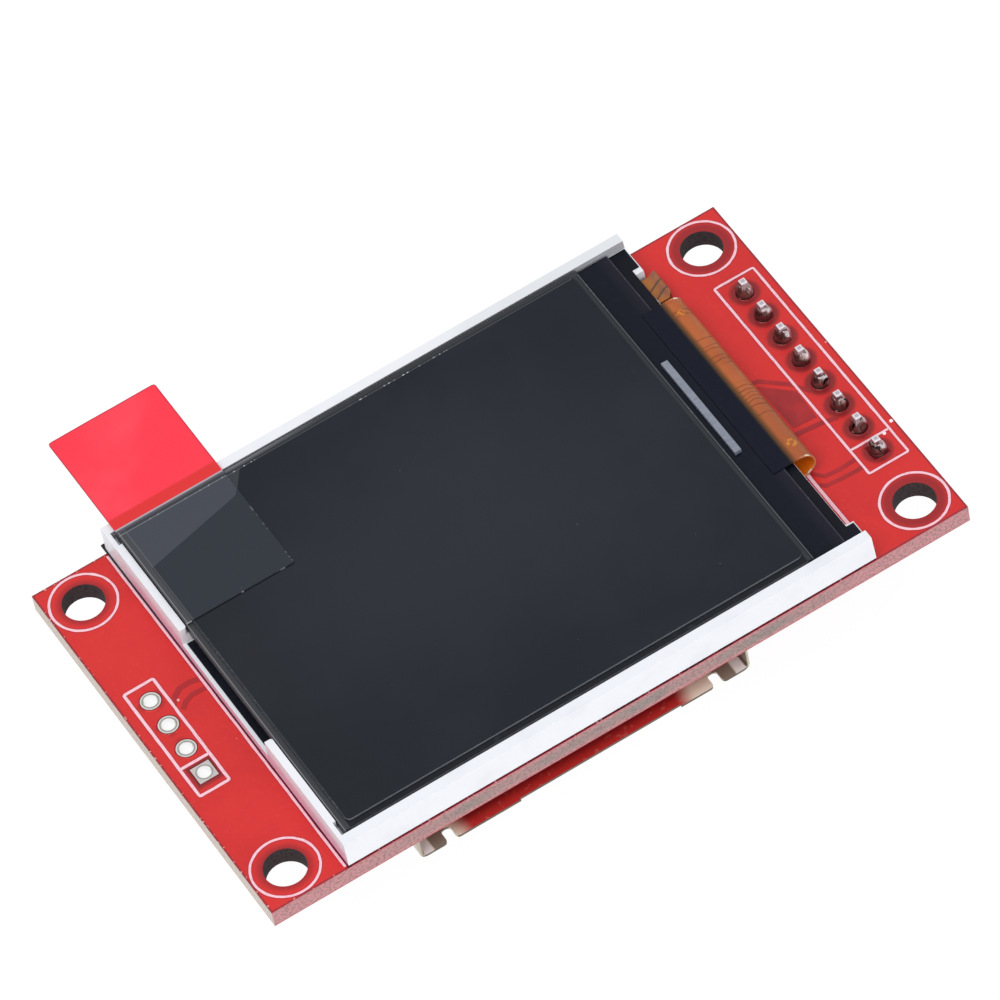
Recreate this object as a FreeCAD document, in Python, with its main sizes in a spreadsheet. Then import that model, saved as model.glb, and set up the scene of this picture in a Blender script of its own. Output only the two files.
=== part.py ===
import FreeCAD, Part
import math
import os
import Sketcher
from FreeCAD import Vector

# A 1.8 inch colour display module: a glass display in its white backlight frame, stuck and soldered to the
# front of a red circuit board, with a pin header at one end, a row of bare plated holes at the other and a
# memory card socket on the back.
# Frame: X runs along the board towards the pin header, Y across it and away from the card socket's mouth,
# Z out of the screen. The origin is the centre of the four mounting holes on the board's underside.

document = FreeCAD.newDocument("tft_display_module")
sheet = document.addObject("Spreadsheet::Sheet", "Sizes")

# Every driving size, in millimetres, with what it measures.
DRIVING_SIZES = (
    ("board_length", 58.0, "circuit board, end to end"),
    ("board_width", 34.0, "circuit board, side to side"),
    ("board_thickness", 1.6, "circuit board laminate"),
    ("mount_inset", 2.75, "mounting hole centre from both board edges"),
    ("mount_radius", 1.6, "mounting hole"),
    ("copper", 0.04, "plating and pad thickness"),
    ("pitch", 2.54, "pin header and plated hole pitch"),
    ("plated_radius", 0.5, "finished radius of a plated hole"),
    ("pin_count", 8, "header pins"),
    ("header_edge", 2.41, "header row from the board's end"),
    ("header_pad_radius", 0.7, "header pad"),
    ("pin_width", 0.64, "square header pin"),
    ("pin_above_board", 1.4, "soldered pin end over the board"),
    ("pin_below_strip", 6.0, "mating pin end under the strip"),
    ("pin_tip", 0.36, "square end face of a pin"),
    ("pin_taper", 0.4, "length of the taper at both pin ends"),
    ("strip_height", 2.54, "header strip, off the board"),
    ("strip_chamfer", 0.45, "break notch of the strip"),
    ("solder_base", 0.65, "solder bell radius, up to half its height"),
    ("solder_neck", 0.47, "solder bell radius at the pin"),
    ("solder_height", 0.95, "solder bell over the pad"),
    ("socket_hole_count", 4, "bare plated holes"),
    ("socket_hole_edge", 2.27, "bare hole row from the board's end"),
    ("socket_pad_radius", 0.84, "bare hole pad"),
    ("adhesive", 0.2, "foam tape between board and display"),
    ("adhesive_width", 3.2, "width of each foam strip"),
    ("adhesive_overhang", 0.12, "left foam strip past the frame's left face, far end"),
    ("adhesive_skew", 0.2, "left foam strip, its near end to the right of its far end"),
    ("adhesive_reach", 0.54, "left foam strip past the frame's far face"),
    ("frame_length", 43.92, "display frame, end to end"),
    ("frame_width", 34.17, "display frame, side to side"),
    ("frame_height", 2.5, "display frame"),
    ("frame_shift", 0.66, "frame centre from the board centre, to the left"),
    ("frame_inset", 0.045, "display frame inside the board's near edge"),
    ("side_wall", 0.82, "frame wall along the long sides"),
    ("end_wall", 0.6, "frame wall at the left end"),
    ("glass_seat", 0.88, "depth of the glass recess in the frame"),
    ("seat_ledge", 0.62, "ledge that carries the glass"),
    ("bar_setback", 0.72, "right bar from the frame's end"),
    ("bar_width", 0.62, "right bar"),
    ("near_block", 2.6, "solid corner of the right bar, near side"),
    ("far_block", 3.43, "solid corner of the right bar, far side"),
    ("block_round", 0.2, "round between the right bar and its solid corners"),
    ("end_gap_length", 11.95, "gap in the left wall"),
    ("end_gap_shift", 0.2, "gap centre from the frame centre, to the near side"),
    ("end_gap_floor", 0.8, "low flange left under the gap"),
    ("flange_bare", 0.29, "width of the low flange that no tape covers"),
    ("gap_round", 0.2, "round of the left wall's inner edges at the gap"),
    ("wall_slant", 0.12, "slant of the long walls' right ends"),
    ("corner_relief", 0.25, "relief in the frame's left inner corners"),
    ("corner_relief_length", 1.3, "length of that relief"),
    ("reflector", 0.15, "reflector sheet"),
    ("light_guide", 0.8, "light guide plate"),
    ("diffuser", 0.15, "diffuser sheet"),
    ("prism", 0.16, "each prism sheet"),
    ("stack_clearance", 0.1, "light guide and sheets to the frame"),
    ("led_channel", 1.2, "room for the lamps beside the light guide"),
    ("led_length", 3.8, "side lit lamp"),
    ("led_depth", 0.8, "side lit lamp, front to back"),
    ("led_count", 3, "lamps"),
    ("led_spacing", 8.4, "lamp to lamp"),
    ("flex", 0.1, "flexible circuit thickness"),
    ("tail_width", 2.5, "lamp circuit where it leaves the frame"),
    ("tail_clearance", 0.3, "lamp circuit to the far corner block"),
    ("tail_reach", 1.62, "lamp circuit past the bar"),
    ("tail_tip", 0.5, "far corner of the lamp circuit, past its notch"),
    ("tail_corner", 0.55, "near corner of the lamp circuit, cut back along X"),
    ("tail_skew", 0.85, "near corner of the lamp circuit, cut back along Y"),
    ("tail_bend", 0.5, "bend radius of the lamp circuit"),
    ("tape", 0.08, "black tape under the glass"),
    ("tape_inset", 0.1, "black tape to the frame walls"),
    ("tape_border", 2.4, "black tape, width of its border"),
    ("tape_tab", 0.55, "tape past the bar at its two corners"),
    ("tape_tab_near", 1.62, "length of the near tape corner"),
    ("tape_tab_far", 2.13, "length of the far tape corner"),
    ("glass", 0.4, "each glass plate"),
    ("glass_side_clearance", 0.19, "glass to the long walls"),
    ("glass_end_clearance", 0.08, "glass to the left wall"),
    ("glass_end", 1.65, "right end of the lower glass from the frame's end"),
    ("contact_ledge", 2.68, "lower glass that shows past the upper one"),
    ("polarizer", 0.12, "each polarizer"),
    ("polarizer_margin", 0.5, "front polarizer to the upper glass edge"),
    ("film", 0.06, "protective film"),
    ("film_corner", 0.5, "corner radius of the film and polarizer"),
    ("tab", 0.08, "pull tab thickness"),
    ("tab_width", 9.0, "pull tab"),
    ("tab_on_film", 9.75, "length of pull tab stuck to the film"),
    ("tab_overhang", 10.25, "length of pull tab past the film"),
    ("tab_corner", 0.2, "pull tab corner radius"),
    ("tab_past_film", 0.5, "pull tab past the film's left edge"),
    ("chip_length", 10.0, "driver chip"),
    ("chip_width", 0.54, "driver chip"),
    ("chip_height", 0.3, "driver chip"),
    ("chip_setback", 1.9, "driver chip centre from the lower glass end"),
    ("chip_shift", 0.17, "driver chip centre from the frame centre"),
    ("ribbon_width", 17.8, "display's flexible circuit"),
    ("ribbon_shift", 0.97, "flexible circuit centre from the frame centre"),
    ("ribbon_bond", 0.9, "flexible circuit bonded on the glass ledge"),
    ("ribbon_roll", 0.43, "roll axis past the bar's outer face"),
    ("ribbon_return", 5.2, "flexible circuit back under the frame"),
    ("ribbon_pad_count", 14, "soldered pads of the flexible circuit"),
    ("ribbon_pad_pitch", 1.1, "pad pitch"),
    ("ribbon_pad_width", 0.6, "pad width"),
    ("ribbon_pad_length", 2.2, "pad length"),
    ("ribbon_solder", 0.03, "solder under the flexible circuit"),
    ("shell_width", 27.5, "card socket shell"),
    ("shell_depth", 28.0, "card socket shell"),
    ("shell_height", 2.8, "card socket shell off the board"),
    ("shell_sheet", 0.2, "shell sheet metal"),
    ("shell_bend", 0.6, "outer bend radius of the shell"),
    ("shell_shift", 3.37, "socket centre from the board centre, to the left"),
    ("shell_inset", 0.5, "socket mouth from the board's edge"),
    ("hook_width", 2.25, "corner hook beside each notch"),
    ("notch_width", 0.76, "notch in the shell's front edge"),
    ("notch_depth", 1.15, "notch in the shell's front edge"),
    ("notch_corner", 0.3, "corner radius at the notches"),
    ("lip_recess", 0.15, "middle of the shell's front edge, set back"),
    ("lip_recess_width", 13.4, "width of that recess"),
    ("lip_recess_shift", 1.25, "its middle from the socket's middle, to the right"),
    ("tongue_width", 2.2, "spring tongue in the shell"),
    ("tongue_length", 7.5, "spring tongue in the shell"),
    ("tongue_slot", 0.5, "slot cut round the tongue"),
    ("tongue_spacing", 13.0, "tongue to tongue"),
    ("tongue_back", 6.5, "tongue root from the shell's rear edge"),
    ("shell_tab_length", 1.8, "solder tab along the shell wall"),
    ("shell_tab_reach", 1.0, "solder tab out of the shell wall"),
    ("shell_tab_end", 2.2, "solder tab from the shell's ends"),
    ("housing_clearance", 0.05, "housing to shell"),
    ("housing_set_back", 2.0, "housing rails behind the shell's mouth"),
    ("rail_width", 1.15, "housing side rail"),
    ("rear_block", 3.2, "housing rear block"),
    ("housing_floor", 0.45, "housing floor on the board"),
    ("floor_length", 10.5, "housing floor, from the rear"),
    ("contact_count", 9, "card contacts"),
    ("contact_pitch", 2.5, "card contact pitch"),
    ("contact_width", 0.8, "card contact"),
    ("contact_sheet", 0.15, "card contact sheet"),
    ("contact_tail", 1.1, "contact tail past the housing"),
    ("contact_rise", 1.55, "contact crest off the board"),
    ("contact_arm", 4.4, "sprung arm of the contact"),
    ("contact_tip", 0.9, "down turned tip of the contact"),
    ("channel_clearance", 0.1, "contact to its channel"),
    ("contact_turn", 0.55, "height of the contact's turned tip"),
    ("contact_shift", 0.95, "card contacts from the socket's middle, to the left"),
    ("detect_gap", 1.6, "card detect contact from the last card contact"),
    ("detect_pitch", 1.2, "card detect contact pitch"),
    ("detect_width", 0.6, "card detect contact"),
    ("detect_reach", 2.0, "card detect contact in front of the rear block"),
    ("solder_run", 0.3, "solder wedge past a tail or tab"),
    ("part_gap", 1.6, "small parts from the socket's solder tabs"),
    ("row_pitch", 2.6, "small parts, one to the next"),
    ("chip_part_length", 1.6, "resistor or capacitor"),
    ("chip_part_width", 0.8, "resistor or capacitor"),
    ("resistor_height", 0.45, "resistor"),
    ("capacitor_height", 0.8, "capacitor"),
    ("end_cap", 0.3, "metal end of a resistor or capacitor"),
    ("pad_margin", 0.25, "board pad past the part's end"),
    ("regulator_length", 2.9, "voltage regulator"),
    ("regulator_width", 1.3, "voltage regulator"),
    ("regulator_height", 1.1, "voltage regulator"),
    ("regulator_standoff", 0.1, "voltage regulator off the board"),
    ("lead_sheet", 0.13, "regulator lead"),
    ("lead_width", 0.42, "regulator lead"),
    ("lead_reach", 0.55, "regulator lead out of the body"),
    ("lead_foot", 0.35, "flat foot of the lead"),
    ("lead_spacing", 1.9, "the two leads on one side"),
)


class Size:
    """A length that keeps both its number and the expression that binds it to the sheet."""

    def __init__(self, value, text):
        self.value = value
        self.text = text

    def __add__(self, other):
        other = as_size(other)
        return Size(self.value + other.value, f"({self.text} + {other.text})")

    def __radd__(self, other):
        return as_size(other) + self

    def __sub__(self, other):
        other = as_size(other)
        return Size(self.value - other.value, f"({self.text} - {other.text})")

    def __rsub__(self, other):
        return as_size(other) - self

    def __mul__(self, other):
        other = as_size(other)
        return Size(self.value * other.value, f"({self.text} * {other.text})")

    def __rmul__(self, other):
        return as_size(other) * self

    def __truediv__(self, other):
        other = as_size(other)
        return Size(self.value / other.value, f"({self.text} / {other.text})")

    def __neg__(self):
        return Size(-self.value, f"(0 - {self.text})")


def as_size(value):
    """A plain number as a Size."""
    return value if isinstance(value, Size) else Size(float(value), repr(float(value)))


class Names:
    """Holds one attribute for each driving size."""


S = Names()
for row, (alias, number, note) in enumerate(DRIVING_SIZES, start=1):
    sheet.set(f"A{row}", alias)
    sheet.set(f"B{row}", str(number))
    sheet.setAlias(f"B{row}", alias)
    sheet.set(f"C{row}", note)
    setattr(S, alias, Size(number, f"Sizes.{alias}"))
document.recompute()

ZERO = as_size(0)
CUT_MARGIN = 1.0
TOLERANCE = 1e-6

# Sub-parts in the order in which they are written, by node name.
nodes = {}


def node(label, thing):
    """Register an object as a sub-part under its node name."""
    thing.Label = label
    nodes[label] = thing
    return thing


def bind(thing, name, size):
    """Bind a property to the sheet."""
    thing.setExpression(name, as_size(size).text)


def block(name, x, y, z):
    """A box between a low and a high place along each axis."""
    box = document.addObject("Part::Box", name)
    for side, base, (low, high) in (("Length", "x", x), ("Width", "y", y), ("Height", "z", z)):
        bind(box, side, as_size(high) - low)
        bind(box, f"Placement.Base.{base}", low)
    return box


def compound(label, parts):
    """Several separate solids of one kind, kept as one node."""
    group = document.addObject("Part::Compound", label)
    group.Links = parts
    return node(label, group)


def new_body(label):
    """An empty body of a sub-part."""
    body = document.addObject("PartDesign::Body", label)
    body.AllowCompound = True
    return node(label, body)


def origin_feature(body, role):
    """One of the body's own origin planes or axes."""
    return next(item for item in body.Origin.OriginFeatures if item.Role == role)


def new_sketch(body, name, plane, at):
    """A sketch on an origin plane, moved along that plane's axis to a given place."""
    sketch = body.newObject("Sketcher::SketchObject", name)
    sketch.AttachmentSupport = (origin_feature(body, plane), [""])
    sketch.MapMode = "FlatFace"
    at = as_size(at)
    bind(sketch, "AttachmentOffset.Base.z", -at if plane == "XZ_Plane" else at)
    return sketch


def constrain_point(sketch, index, end, x, y):
    """Hold one end of a sketch element at a place bound to the sheet."""
    for kind, size in (("DistanceX", as_size(x)), ("DistanceY", as_size(y))):
        number = sketch.addConstraint(Sketcher.Constraint(kind, -1, 1, index, end, size.value))
        bind(sketch, f"Constraints[{number}]", size)


def rounded_corner(previous, corner, following, radius):
    """The two tangent points of a round at a right-angled corner whose sides lie along the axes."""
    points = []
    for other in (previous, following):
        step_x = other[0].value - corner[0].value
        step_y = other[1].value - corner[1].value
        if abs(step_x) > abs(step_y):
            points.append((corner[0] + radius * math.copysign(1, step_x), corner[1]))
        else:
            points.append((corner[0], corner[1] + radius * math.copysign(1, step_y)))
    return points


def add_arc(sketch, start, end, corner, radius):
    """A quarter round inside the corner, with the numbers of its first and last ends."""
    centre_x = start[0].value + end[0].value - corner[0].value
    centre_y = start[1].value + end[1].value - corner[1].value
    angle_start = math.atan2(start[1].value - centre_y, start[0].value - centre_x)
    angle_end = math.atan2(end[1].value - centre_y, end[0].value - centre_x)
    turn = (angle_end - angle_start) % (2 * math.pi)
    clockwise = turn > math.pi
    if clockwise:
        angle_start, angle_end = angle_end, angle_start
    circle = Part.Circle(Vector(centre_x, centre_y, 0), Vector(0, 0, 1), radius.value)
    index = sketch.addGeometry(Part.ArcOfCircle(circle, angle_start, angle_end))
    number = sketch.addConstraint(Sketcher.Constraint("Radius", index, radius.value))
    bind(sketch, f"Constraints[{number}]", radius)
    return (index, 2, 1) if clockwise else (index, 1, 2)


def point_of(place):
    """A place as a point of the sketch."""
    return Vector(place[0].value, place[1].value, 0)


def outline(sketch, corners):
    """A closed outline through corners (x, y) or rounded right-angled corners (x, y, radius)."""
    places = [(as_size(corner[0]), as_size(corner[1])) for corner in corners]
    runs = []
    for index, corner in enumerate(corners):
        place = places[index]
        if len(corner) == 3:
            radius = as_size(corner[2])
            start, end = rounded_corner(places[index - 1], place, places[(index + 1) % len(places)], radius)
            runs.append((start, end, place, radius))
        else:
            runs.append((place, place, None, None))
    chain = []
    for index, (start, end, corner, radius) in enumerate(runs):
        if corner is not None:
            chain.append((start, *add_arc(sketch, start, end, corner, radius)))
        following = runs[(index + 1) % len(runs)][0]
        if not point_of(end).isEqual(point_of(following), TOLERANCE):
            line = sketch.addGeometry(Part.LineSegment(point_of(end), point_of(following)))
            chain.append((end, line, 1, 2))
    for index, (start, element, first, last) in enumerate(chain):
        following, following_first = chain[(index + 1) % len(chain)][1:3]
        constrain_point(sketch, element, first, *start)
        sketch.addConstraint(Sketcher.Constraint("Coincident", element, last, following, following_first))


def circle(sketch, x, y, radius):
    """A circle held by its centre and radius."""
    x, y, radius = as_size(x), as_size(y), as_size(radius)
    index = sketch.addGeometry(Part.Circle(Vector(x.value, y.value, 0), Vector(0, 0, 1), radius.value))
    constrain_point(sketch, index, 3, x, y)
    number = sketch.addConstraint(Sketcher.Constraint("Radius", index, radius.value))
    bind(sketch, f"Constraints[{number}]", radius)


def rectangle(x, y, radius=None):
    """The four corners of a rectangle, rounded if a radius is given."""
    corners = ((x[0], y[0]), (x[1], y[0]), (x[1], y[1]), (x[0], y[1]))
    return corners if radius is None else tuple(corner + (radius,) for corner in corners)


def draw(sketch, outlines, circles):
    """All outlines and circles of one sketch."""
    for corners in outlines:
        outline(sketch, corners)
    for x, y, radius in circles:
        circle(sketch, x, y, radius)


def pad(body, name, plane, span, outlines=(), circles=()):
    """Material between two places along the plane's axis."""
    sketch = new_sketch(body, f"{name}_sketch", plane, span[0])
    draw(sketch, outlines, circles)
    feature = body.newObject("PartDesign::Pad", name)
    feature.Profile = sketch
    feature.Reversed = plane == "XZ_Plane"
    bind(feature, "Length", as_size(span[1]) - span[0])
    document.recompute()
    return feature


def cut(body, name, plane, span, outlines=(), circles=()):
    """Material taken away between two places along the plane's axis."""
    volume_before = body.Shape.Volume
    sketch = new_sketch(body, f"{name}_sketch", plane, span[0])
    draw(sketch, outlines, circles)
    feature = body.newObject("PartDesign::Pocket", name)
    feature.Profile = sketch
    feature.Reversed = plane != "XZ_Plane"
    bind(feature, "Length", as_size(span[1]) - span[0])
    document.recompute()
    if body.Shape.Volume > volume_before - TOLERANCE:
        raise ValueError(f"{name} cuts nothing from {body.Label}")
    return feature


def revolve(body, name, x, y, corners):
    """A turned form about an upright axis at (x, y): corners are (radius, height)."""
    sketch = new_sketch(body, f"{name}_sketch", "XZ_Plane", y)
    bind(sketch, "AttachmentOffset.Base.x", x)
    outline(sketch, corners)
    feature = body.newObject("PartDesign::Revolution", name)
    feature.Profile = sketch
    feature.ReferenceAxis = (sketch, ["V_Axis"])
    feature.Angle = 360
    document.recompute()
    return feature


def edges_where(shape, test):
    """Names of the edges of a shape that pass a test."""
    return [f"Edge{index}" for index, edge in enumerate(shape.Edges, start=1) if test(edge)]


def fillet(body, name, radius, test):
    """Rounds on the edges of the body's last feature that pass a test."""
    base = body.Tip
    feature = body.newObject("PartDesign::Fillet", name)
    feature.Base = (base, edges_where(base.Shape, test))
    bind(feature, "Radius", radius)
    document.recompute()
    return feature


def repeat(body, name, axis, spacing, count, originals=None):
    """The given features, or else the whole body so far, repeated along an axis of its origin."""
    feature = body.newObject("PartDesign::LinearPattern", name)
    if originals is None:
        feature.TransformMode = "Whole shape"
    else:
        feature.Originals = originals
    feature.Direction = (origin_feature(body, axis), [""])
    feature.Mode = "Spacing"
    bind(feature, "Offset", spacing)
    bind(feature, "Occurrences", count)
    body.Tip = feature
    document.recompute()
    return feature


def is_upright(edge):
    """Whether an edge is a straight line along Z."""
    ends = [vertex.Point for vertex in edge.Vertexes]
    return len(ends) == 2 and (ends[0] - ends[1]).cross(Vector(0, 0, 1)).Length < TOLERANCE


# Places on the board.
board_top = S.board_thickness
board_left = -S.board_length / 2
board_right = S.board_length / 2
board_near = -S.board_width / 2
board_far = S.board_width / 2
header_x = board_right - S.header_edge
header_first_y = -S.pitch * (S.pin_count - 1) / 2
bare_x = board_left + S.socket_hole_edge
bare_first_y = -S.pitch * (S.socket_hole_count - 1) / 2
barrel_radius = S.plated_radius + S.copper
front_copper_top = board_top + S.copper
back_copper_bottom = -S.copper

# Places of the display frame.
frame_left = -S.frame_shift - S.frame_length / 2
frame_right = -S.frame_shift + S.frame_length / 2
frame_near = board_near + S.frame_inset
frame_far = frame_near + S.frame_width
frame_middle_y = (frame_near + frame_far) / 2
frame_bottom = board_top + S.adhesive
frame_top = frame_bottom + S.frame_height
seat_floor = frame_top - S.glass_seat
seat_left = frame_left + S.end_wall
seat_near = frame_near + S.side_wall
seat_far = frame_far - S.side_wall
cavity_left = seat_left + S.seat_ledge
cavity_near = seat_near + S.seat_ledge
cavity_far = seat_far - S.seat_ledge
bar_outer = frame_right - S.bar_setback
cavity_right = bar_outer - S.bar_width
end_gap_middle = frame_middle_y - S.end_gap_shift
end_gap_y = (end_gap_middle - S.end_gap_length / 2, end_gap_middle + S.end_gap_length / 2)
gap_floor = frame_bottom + S.end_gap_floor

# Heights of the backlight stack, from the frame's bottom face up.
guide_bottom = frame_bottom + S.reflector
guide_top = guide_bottom + S.light_guide
diffuser_top = guide_top + S.diffuser
lower_prism_top = diffuser_top + S.prism
upper_prism_top = lower_prism_top + S.prism
stack_x = (cavity_left + S.stack_clearance, cavity_right - S.led_channel)
stack_y = (cavity_near + S.stack_clearance, cavity_far - S.stack_clearance)

# Places of the glass and of what lies on it.
tape_top = seat_floor + S.tape
array_top = tape_top + S.glass
upper_glass_top = array_top + S.glass
glass_left = seat_left + S.glass_end_clearance
glass_near = seat_near + S.glass_side_clearance
glass_far = seat_far - S.glass_side_clearance
array_right = frame_right - S.glass_end
upper_glass_right = array_right - S.contact_ledge
front_x = (glass_left + S.polarizer_margin, upper_glass_right - S.polarizer_margin)
front_y = (glass_near + S.polarizer_margin, glass_far - S.polarizer_margin)
front_polarizer_top = upper_glass_top + S.polarizer
film_top = front_polarizer_top + S.film

# The lamp circuit leaves the frame through a notch between the bar and its far corner block.
far_block_y = frame_far - S.far_block
tail_far = far_block_y - S.tail_clearance
tail_y = (tail_far - S.tail_width, tail_far)
tail_top = guide_top + S.flex


def circuit_board():
    """Laminate with mounting holes, header holes and bare holes."""
    body = new_body("circuit_board")
    edges = rectangle((board_left, board_right), (board_near, board_far))
    pad(body, "laminate", "XY_Plane", (ZERO, board_top), [edges])
    mounting = [
        (side_x * (board_right - S.mount_inset), side_y * (board_far - S.mount_inset), S.mount_radius)
        for side_x in (-1, 1)
        for side_y in (-1, 1)
    ]
    through = (-CUT_MARGIN, board_top + CUT_MARGIN)
    cut(body, "mounting_holes", "XY_Plane", through, circles=mounting)
    for name, x, first_y, count in (
        ("header_holes", header_x, header_first_y, S.pin_count),
        ("bare_holes", bare_x, bare_first_y, S.socket_hole_count),
    ):
        row = [(x, first_y + S.pitch * index, barrel_radius) for index in range(int(count.value))]
        cut(body, name, "XY_Plane", through, circles=row)


def bare_hole_pads():
    """A row of bare plated through holes with a ring on each face; the near one has square pads."""
    body = new_body("bare_hole_pads")
    x, first_y, pad_radius = bare_x, bare_first_y, S.socket_pad_radius
    pad(body, "square_pads", "XY_Plane", (back_copper_bottom, front_copper_top),
        [rectangle((x - pad_radius, x + pad_radius), (first_y - pad_radius, first_y + pad_radius))])
    beyond = pad_radius + CUT_MARGIN
    around = rectangle((x - beyond, x + beyond), (first_y - beyond, first_y + beyond))
    cut(body, "square_waist", "XY_Plane", (ZERO, board_top), [around], [(x, first_y, barrel_radius)])
    through = (-CUT_MARGIN, board_top + CUT_MARGIN)
    cut(body, "square_bore", "XY_Plane", through, circles=[(x, first_y, S.plated_radius)])
    ring = revolve(body, "ring", x, first_y + S.pitch, (
        (S.plated_radius, back_copper_bottom),
        (pad_radius, back_copper_bottom),
        (pad_radius, ZERO),
        (barrel_radius, ZERO),
        (barrel_radius, board_top),
        (pad_radius, board_top),
        (pad_radius, front_copper_top),
        (S.plated_radius, front_copper_top),
    ))
    repeat(body, "rings", "Y_Axis", S.pitch, S.socket_hole_count - 1, originals=[ring])


def header_pads():
    """Plated holes of the header, each closed by its solder round the pin; the near pad is square."""
    body = new_body("header_pads")
    x, first_y, pad_radius = header_x, header_first_y, S.header_pad_radius
    pad(body, "square_pad", "XY_Plane", (board_top, front_copper_top),
        [rectangle((x - pad_radius, x + pad_radius), (first_y - pad_radius, first_y + pad_radius))])
    pad(body, "square_barrel", "XY_Plane", (back_copper_bottom, board_top),
        circles=[(x, first_y, barrel_radius)])
    barrel = revolve(body, "barrel", x, first_y + S.pitch, (
        (ZERO, back_copper_bottom),
        (barrel_radius, back_copper_bottom),
        (barrel_radius, board_top),
        (pad_radius, board_top),
        (pad_radius, front_copper_top),
        (ZERO, front_copper_top),
    ))
    repeat(body, "barrels", "Y_Axis", S.pitch, S.pin_count - 1, originals=[barrel])
    half = S.pin_width / 2
    rows = [first_y + S.pitch * index for index in range(int(S.pin_count.value))]
    cut(body, "pin_holes", "XY_Plane", (-CUT_MARGIN, board_top + CUT_MARGIN),
        [rectangle((x - half, x + half), (y - half, y + half)) for y in rows])


def header_pins():
    """Square pins, tapered on all four sides at both ends."""
    body = new_body("header_pins")
    low = back_copper_bottom - S.strip_height - S.pin_below_strip
    high = board_top + S.pin_above_board
    half, tip = S.pin_width / 2, S.pin_tip / 2
    x, y = header_x, header_first_y
    pad(body, "pin", "XZ_Plane", (y - half, y + half), [(
        (x - tip, low), (x + tip, low), (x + half, low + S.pin_taper), (x + half, high - S.pin_taper),
        (x + tip, high), (x - tip, high), (x - half, high - S.pin_taper), (x - half, low + S.pin_taper),
    )])
    cut(body, "side_tapers", "YZ_Plane", (x - S.pin_width, x + S.pin_width), [
        ((y + side * tip, end), (y + side * half, end), (y + side * half, end + inward * S.pin_taper))
        for side in (-1, 1)
        for end, inward in ((low, 1), (high, -1))
    ])
    repeat(body, "row", "Y_Axis", S.pitch, S.pin_count)


def header_strip():
    """Moulded strip whose notched segments each hold one pin."""
    body = new_body("header_strip")
    half = S.pitch / 2
    near, far = header_first_y - half, header_first_y + half
    left, right = header_x - half, header_x + half
    notch = S.strip_chamfer
    span = (back_copper_bottom - S.strip_height, back_copper_bottom)
    pad(body, "segment", "XY_Plane", span, [(
        (left + notch, near), (right - notch, near), (right, near + notch), (right, far - notch),
        (right - notch, far), (left + notch, far), (left, far - notch), (left, near + notch),
    )])
    pin = S.pin_width / 2
    cut(body, "pin_hole", "XY_Plane", (span[0] - CUT_MARGIN, span[1] + CUT_MARGIN),
        [rectangle((header_x - pin, header_x + pin), (header_first_y - pin, header_first_y + pin))])
    repeat(body, "segments", "Y_Axis", S.pitch, S.pin_count)


def solder_joints():
    """A bell of solder round each pin, standing on its pad."""
    body = new_body("solder_joints")
    middle = front_copper_top + S.solder_height / 2
    top = front_copper_top + S.solder_height
    revolve(body, "bell", header_x, header_first_y, (
        (ZERO, front_copper_top),
        (S.solder_base, front_copper_top),
        (S.solder_base, middle),
        (S.solder_neck, top),
        (ZERO, top),
    ))
    pin = S.pin_width / 2
    cut(body, "pin_hole", "XY_Plane", (ZERO, top + CUT_MARGIN),
        [rectangle((header_x - pin, header_x + pin), (header_first_y - pin, header_first_y + pin))])
    repeat(body, "row", "Y_Axis", S.pitch, S.pin_count)


def backlight_frame():
    """White moulded frame: a glass recess over a deeper well for the light guide."""
    body = new_body("backlight_frame")
    near_block_y = frame_near + S.near_block
    pad(body, "plate", "XY_Plane", (frame_bottom, frame_top), [(
        (frame_left, frame_near), (frame_right, frame_near), (frame_right, near_block_y),
        (bar_outer, near_block_y, S.block_round), (bar_outer, far_block_y, S.block_round),
        (frame_right, far_block_y), (frame_right, frame_far), (frame_left, frame_far),
    )])
    cut(body, "glass_recess", "XY_Plane", (seat_floor, frame_top + CUT_MARGIN),
        [rectangle((seat_left, frame_right + CUT_MARGIN), (seat_near, seat_far))])
    relief = S.corner_relief
    reach = S.corner_relief_length
    cut(body, "corner_reliefs", "XY_Plane", (seat_floor, frame_top + CUT_MARGIN), [
        rectangle((seat_left - relief, seat_left + relief), (seat_near, seat_near + reach)),
        rectangle((seat_left - relief, seat_left + relief), (seat_far - reach, seat_far)),
    ])
    cut(body, "light_well", "XY_Plane", (frame_bottom - CUT_MARGIN, frame_top),
        [rectangle((cavity_left, cavity_right), (cavity_near, cavity_far))])
    cut(body, "end_gap", "XY_Plane", (gap_floor, frame_top + CUT_MARGIN),
        [rectangle((frame_left - CUT_MARGIN, cavity_left), end_gap_y)])
    fillet(body, "gap_rounds", S.gap_round, is_gap_edge)
    cut(body, "tail_notch", "XY_Plane", (guide_top, frame_top),
        [rectangle((cavity_right, frame_right + CUT_MARGIN), (tail_y[0], far_block_y))])
    slanted = (
        (frame_right - S.wall_slant, frame_top), (frame_right + CUT_MARGIN, frame_top),
        (frame_right + CUT_MARGIN, frame_bottom), (frame_right, frame_bottom),
    )
    cut(body, "slanted_ends", "XZ_Plane", (frame_near - CUT_MARGIN, frame_far + CUT_MARGIN), [slanted])


def is_gap_edge(edge):
    """Whether an upright edge is an inner corner of the left wall at its gap."""
    if not is_upright(edge):
        return False
    point = edge.CenterOfMass
    at_wall = abs(point.x - seat_left.value) < TOLERANCE and point.z > seat_floor.value
    return at_wall and any(abs(point.y - end.value) < TOLERANCE for end in end_gap_y)


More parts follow.
